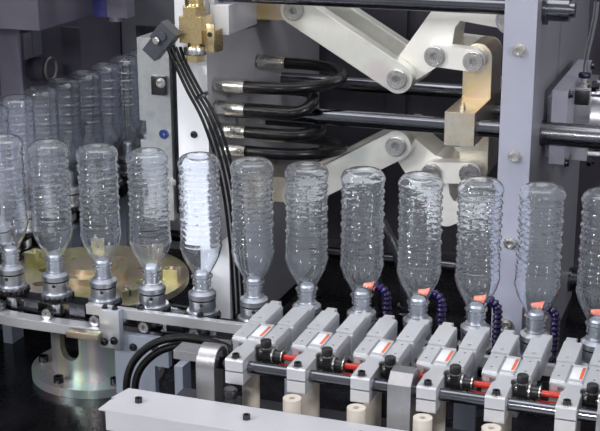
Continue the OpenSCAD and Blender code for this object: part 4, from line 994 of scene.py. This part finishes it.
@dataclass
class Grippers(Assembly):
    """Details of the gripper row: plates, screws, regulator trim."""

    body: Body = Body.GRIPPERS
    count: int = 7
    pitch: float = 85.6
    y: float = -265.0
    z: float = -17.0

    def build(self) -> None:
        """Dresses each gripper."""
        for i in range(self.count):
            self.gripper(i)
            if i < self.count - 1:
                self.regulator(i)

    def gripper(self, i: int) -> None:
        """Makes the plate, its colour strip and the screws of gripper i."""
        x, y, z = i * self.pitch, self.y, self.z
        self.block(f"gripper_plate_{i}", (x - 8.3, y + 58.3, z + 18), (x + 8.3, y + 96.7, z + 19.3), WHITE_PLATE, 0.3)
        low, high = (x + 3.6, y + 59.2, z + 19.25), (x + 7.6, y + 95.8, z + 19.6)
        self.block(f"gripper_strip_{i}", low, high, ORANGE_PLASTIC, 0.1)
        head = [(0, 0), (2, 0), (2, 3.2), (1.2, 3.5), (0, 2.6)]
        for j, (dx, dy) in enumerate(((-22, 64), (22, 64), (-22, 96), (22, 96))):
            self.turned(f"gripper_screw_{i}_{j}", head, (x + dx, y + dy, z + 15), UP, DARK_STEEL, 12)
        washer = [(3.4, 0), (6.8, 0), (6.8, 1.1), (3.4, 1.1)]
        self.turned(f"clamp_washer_{i}", washer, (x, y - 14.5, z + 17), UP, NICKEL, 24)

    def regulator(self, i: int) -> None:
        """Makes the chrome and ribbed trim of the speed controller beside gripper i."""
        x, y, z = i * self.pitch + 12.5, self.y + 39, self.z + 3
        ring = [(9.45, 0), (10.1, 0.2), (10.1, 2.4), (9.45, 2.6)]
        self.turned(f"regulator_ring_{i}", ring, (x + 18.4, y, z), RIGHT, NICKEL)
        small = [(7.9, 0), (8.7, 0.2), (8.7, 1.9), (7.9, 2)]
        self.turned(f"regulator_collar_{i}", small, (x + 31.6, y, z), RIGHT, NICKEL)
        ribbed = [(0, 0), (6.4, 0), (7.4, 0.4), (7.4, 8.6), (6.6, 9.4), (0, 9.4)]
        self.turned(
            f"regulator_knob_{i}", ribbed, (x + 11, y - 5, z + 14), UP, BLACK_PLASTIC, 48,
            lambda r, h, a: r - (0.45 if r > 7 and math.cos(16 * a) > 0 else 0),
        )
        band = [(6.45, 0), (7.1, 0.1), (7.1, 1.5), (6.45, 1.6)]
        self.turned(f"regulator_band_{i}", band, (x + 11, y - 5, z + 11.6), UP, NICKEL)
        slit = [(0, 0), (0.7, 0.3), (0.7, 12.7), (0, 13)]
        for j, angle in enumerate((40, 80, 120)):
            a = math.radians(angle)
            place = (x + 2.5, y - 9.4 * math.cos(a), z + 9.4 * math.sin(a))
            self.turned(f"regulator_slit_{i}_{j}", slit, place, RIGHT, NICKEL, 8)
        fitting = [(0, 0), (5.4, 0), (5.4, 3), (4.6, 3.6), (4.6, 6), (5.4, 6.4), (5.4, 8), (0, 8)]
        self.turned(f"regulator_fitting_{i}", fitting, (x + 21.6, y, z - 14), RIGHT, BRASS, 24)


@dataclass
class Coolant(Assembly):
    """Manifold behind the bottles with jointed swan-neck hoses, and the air hose's fittings."""

    y: float = 78.0
    z: float = -96.0
    pitch: float = 85.6
    start: float = 51.36
    length: float = 482.24
    table: float = -283.0

    def build(self) -> None:
        """Makes the manifold, its brackets, the swan necks and the two flat fittings."""
        bar = [(0, 0), (8.6, 0), (10, 1.4), (10, self.length - 1.4), (8.6, self.length), (0, self.length)]
        manifold = self.turned("coolant_manifold", bar, (self.start, self.y, self.z), RIGHT, DARK_STEEL)
        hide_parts("coolant_hoses")
        for i, x in enumerate((self.start + 10, self.start + self.length - 30)):
            low, high = (x, self.y - 10, self.table), (x + 20, self.y + 10, -105)
            self.block(f"manifold_bracket_{i}", low, high, DARK_STEEL, 1)
        for k in range(1, 6):
            self.neck(k)
        for i, (x, y, top) in enumerate(((134, 66, -34), (82, 108, -64))):
            h = top - self.table
            fit = [(0, 0), (12, 0), (12, h - 13), (10.5, h - 11), (10.5, h - 7), (12, h - 5), (12, h), (0, h)]
            self.turned(f"air_fitting_{i}", fit, (x, y, self.table), UP, DARK_STEEL, 28)

    def neck(self, k: int) -> None:
        """Makes swan neck k from ball joints that lie in each other, and its nozzle."""
        x, low, rise, bend = k * self.pitch + 17, self.z + 8, 56, 17
        places = [Vector((x, self.y, low + s)) for s in range(0, rise, 8)]
        places += [
            Vector((x - bend + bend * math.cos(a), self.y, low + rise + bend * math.sin(a)))
            for a in (math.radians(22.5 * n) for n in range(5))
        ]
        joint = [(0, -3.4), (5.4, -3.4), (7.5, -1.4), (7.5, 0.6), (5.6, 3.2), (5, 4.2), (0, 4.2)]

        def build(bm: BMesh) -> None:
            """Fills the mesh with one closed turned joint for each place."""
            for i, place in enumerate(places):
                ahead = (places[min(i + 1, len(places) - 1)] - places[max(i - 1, 0)]).normalized()
                made = len(bm.verts)
                lathe(bm, joint, 20)
                settle(bm, bm.verts[made:], place, ahead)

        self.add(f"coolant_neck_{k}", build, VIOLET_PLASTIC)
        nozzle = [(0, 0), (7.2, 0), (7.2, 4), (6, 5), (3.4, 19.6), (2.2, 20), (2, 17), (0, 17)]
        self.turned(f"coolant_nozzle_{k}", nozzle, (x - bend, self.y, low + rise + bend), LEFT, ORANGE_PLASTIC, 24)


@dataclass
class TableRuns(Assembly):
    """Hoses and conduits that run over the table."""

    def conduit(self, i: int) -> list[Point]:
        """Returns the route of conduit i from the cover down to the table."""
        bends = (
            (-40, 0, -150, -6, -70, 14), (-70, 0, -140, -6, -62, 14), (-110, 0, -130, -6, -60, 14),
            (-150, -3, -126, -5, -64, 14), (-186, -8, -128, -4, -78, 12), (-212, -12, -134, -2, -104, 8),
            (-220, -14, -142, 0, -134, 2), (-210, -14, -152, 0, -166, -3), (-190, -13, -166, 2, -200, -6),
            (-176, -14, -180, 4, -240, 0), (-172, -14, -190, 6, -281.5, 0),
        )
        return [(x + i * dx, y + i * dy, z + i * dz) for x, dx, y, dy, z, dz in bends]

    def build(self) -> None:
        """Makes both conduits and the dark air hose."""
        for i in range(2):
            node = "cable_conduits" if i == 0 else ""
            self.tube(f"conduit_{i}", self.conduit(i), 6, BLACK_RUBBER, node, 0.8, 2.8, 14)
        bends = (
            (0, 0, -33.7), (0, 0, -12), (-3, 0, 10), (-10, 0, 34), (-20, 1, 58), (-32, 4, 80), (-44, 10, 92),
            (-56, 18, 88), (-62, 26, 68), (-62, 34, 40), (-58, 40, 0), (-54, 42, -40), (-52, 42, -62.8),
        )
        route = [(134 + dx, 66 + dy, z) for dx, dy, z in bends]
        self.tube("air_hose_run", route, 7.4, BLACK_RUBBER, "air_hose", sides=20)


@dataclass
class Rails(Assembly):
    """Small pieces on the rails, the table and the wheel's housing."""

    def build(self) -> None:
        """Makes the blocks, the screws and the knurled knob."""
        self.block("rail_block", (-362, -92, -93.5), (-306, -76, -82), YELLOW_ZINC, 1.2)
        self.block("joint_plate_face", (-320.6, -58.9, -117), (-286.4, -58.1, -54), RAIL_ALUMINIUM, 0.3)
        for i, (x, z) in enumerate(((-313, -107), (-296, -103), (-270, -115), (-232, -113))):
            self.screw(f"joint_screw_{i}", (x, -58.9 if i < 2 else -46.1, z), FRONT, 6, DARK_STEEL)
        for i, x in enumerate((-313, -296)):
            self.screw(f"joint_top_screw_{i}", (x, -52, -53), UP, 5, DARK_STEEL)
        for i in range(8):
            self.screw(f"rail_screw_{i}", (-260 + i * 100, -34, -54), UP, 6, DARK_STEEL)
        knurl = [(8.1, 0), (9.3, 0), (9.9, 0.8), (9.9, 9.2), (9.3, 10), (8.1, 10)]
        self.turned(
            "post_knob", knurl, (0, -301, -46), UP, BLACK_PLASTIC, 60,
            lambda r, h, a: r - (0.35 if r > 9.5 and math.cos(30 * a) > 0 else 0),
        )


@dataclass
class Cladding(Assembly):
    """Fasteners of the side panels and the guard walls."""

    panel_inset: float = 28.0
    guard_inset: float = 20.0

    def sides(self, node: str) -> tuple[Vector, Vector]:
        """Returns the lowest and highest corner of a CAD node's box, in the bottle line's frame."""
        return tuple((Vector(v) - LINE_ORIGIN) * 1000 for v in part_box(node))

    def places(self, low: float, high: float, inset: float, count: int) -> list[float]:
        """Returns even places from low to high, with an inset at both ends."""
        return [low + inset + (high - low - 2 * inset) * i / (count - 1) for i in range(count)]

    def build(self) -> None:
        """Puts screws on the panels, the guard walls' posts and their rails, placed from the CAD nodes' boxes."""
        low, high = self.sides("base_panels")
        inset = self.panel_inset
        for j, (y, way) in enumerate(((low.y, FRONT), (high.y, REAR))):
            for i, x in enumerate(self.places(low.x, high.x, inset, 6)):
                for k, z in enumerate((low.z + inset, high.z - inset)):
                    self.screw(f"panel_screw_{j}_{i}_{k}", (x, y, z), way, 6, GROUND_STEEL)
        low, high = self.sides("guard_walls")
        inset = self.guard_inset
        for k, z in enumerate((low.z + inset, high.z - inset)):
            for i, x in enumerate(self.places(low.x, high.x, inset, 8)):
                self.screw(f"guard_screw_rear_{i}_{k}", (x, high.y, z), REAR, 8, GROUND_STEEL)
            for i, y in enumerate(self.places(low.y, high.y, inset, 6)):
                self.screw(f"guard_screw_left_{i}_{k}", (low.x, y, z), LEFT, 8, GROUND_STEEL)


@dataclass
class Studio:
    """Camera, lamps, floor and background. Angles are in degrees, the lens and the sensor in millimetres."""

    place: Point = (0.72897, -1.99469, 1.81097)
    yaw: float = 19.654
    pitch: float = 17.087
    roll: float = 0.171
    lens: float = 78.524
    sensor: float = 36.0
    floor: float = 9.0
    level: float = 0.3
    seen: float = 0.6

    def camera(self) -> None:
        """Makes the camera at the photograph's view."""
        data = bpy.data.cameras.new("camera")
        data.lens = self.lens
        data.sensor_width = self.sensor
        data.clip_start = 0.05
        camera = bpy.data.objects.new("camera", data)
        bpy.context.scene.collection.objects.link(camera)
        turn = (
            Matrix.Rotation(math.radians(self.yaw), 4, "Z")
            @ Matrix.Rotation(math.radians(90 - self.pitch), 4, "X")
            @ Matrix.Rotation(math.radians(-self.roll), 4, "Z")
        )
        camera.matrix_world = Matrix.Translation(self.place) @ turn
        bpy.context.scene.camera = camera

    def lamp(self, name: str, place: Point, target: Point, size: tuple[float, float], power: float) -> None:
        """Adds a soft lamp.

        Args:
            name: The lamp's name.
            place: Where it hangs, in metres.
            target: The point that it faces.
            size: Its width and height.
            power: Its power in watts.
        """
        data = bpy.data.lights.new(name, "AREA")
        data.shape = "RECTANGLE"
        data.size, data.size_y = size
        data.energy = power
        lamp = bpy.data.objects.new(name, data)
        bpy.context.scene.collection.objects.link(lamp)
        lamp.location = place
        lamp.rotation_euler = (Vector(target) - Vector(place)).to_track_quat("-Z", "Y").to_euler()

    def world(self) -> None:
        """Makes the background: plain level light, which the camera, metal and glass see brighter."""
        world = bpy.data.worlds.new("studio")
        bpy.context.scene.world = world
        tree = NodeTree(world, "ShaderNodeOutputWorld")
        mix = tree.add("ShaderNodeMixShader")
        for socket, strength in enumerate((self.level, self.seen), 1):
            tree.link(tree.add("ShaderNodeBackground", {"Strength": strength}), 0, mix, socket)
        path = tree.add("ShaderNodeLightPath")
        source, out = path, "Is Camera Ray"
        for ray in ("Is Glossy Ray", "Is Transmission Ray"):
            either = tree.add("ShaderNodeMath", operation="MAXIMUM")
            tree.link(source, out, either, 0)
            tree.link(path, ray, either, 1)
            source, out = either, "Value"
        tree.link(source, out, mix, "Fac")
        tree.link(mix, 0, tree.output, "Surface")

    def floor_faces(self, bm: BMesh) -> None:
        """Fills a mesh with the square of the floor, just under the feet."""
        corners = ((-1, -1), (1, -1), (1, 1), (-1, 1))
        bm.faces.new([bm.verts.new((x * self.floor, y * self.floor, -0.0005)) for x, y in corners])

    def build(self) -> None:
        """Sets up the whole studio."""
        bpy.context.scene.view_settings.view_transform = "Standard"
        self.camera()
        self.world()
        self.lamp("ceiling", (0.1, -0.3, 3.2), (0.0, 0.0, 1.1), (2.6, 1.2), 30.0)
        self.lamp("key", (-1.6, -2.4, 2.4), (0.0, -0.2, 1.1), (0.3, 0.34), 34.0)
        self.lamp("front", (0.3, -2.8, 2.3), (0.1, -0.2, 1.1), (0.24, 0.24), 15.0)
        self.lamp("fill", (2.4, -1.6, 2.0), (0.1, -0.2, 1.1), (0.3, 0.34), 27.0)
        self.lamp("left window", (-1.2, -1.2, 2.6), (0.0, -0.2, 1.1), (0.2, 0.2), 8.0)
        mesh = mesh_of("floor", self.floor_faces)
        mesh.materials.append(PALE_FLOOR.material())
        floor = bpy.data.objects.new("floor", mesh)
        bpy.context.scene.collection.objects.link(floor)


def dress_nodes() -> None:
    """Gives every CAD node that shows its finish."""
    for finish, names in FINISH_NODES.items():
        for name in names:
            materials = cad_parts[name].data.materials
            materials.clear()
            materials.append(finish.material())


def main() -> None:
    """Builds the whole scene."""
    logging.basicConfig(level=logging.INFO, format="%(name)s: %(message)s")
    dress_nodes()
    for kind in (
        BottleLine, ToggleClamp, PlatenHoses, BlowValve, MouldFace, ClampEnd, Grippers, Coolant, TableRuns, Rails,
        Cladding,
    ):
        log.info("building %s", kind.__name__)
        kind().build()
    Studio().build()


if __name__ == "__main__":
    main()
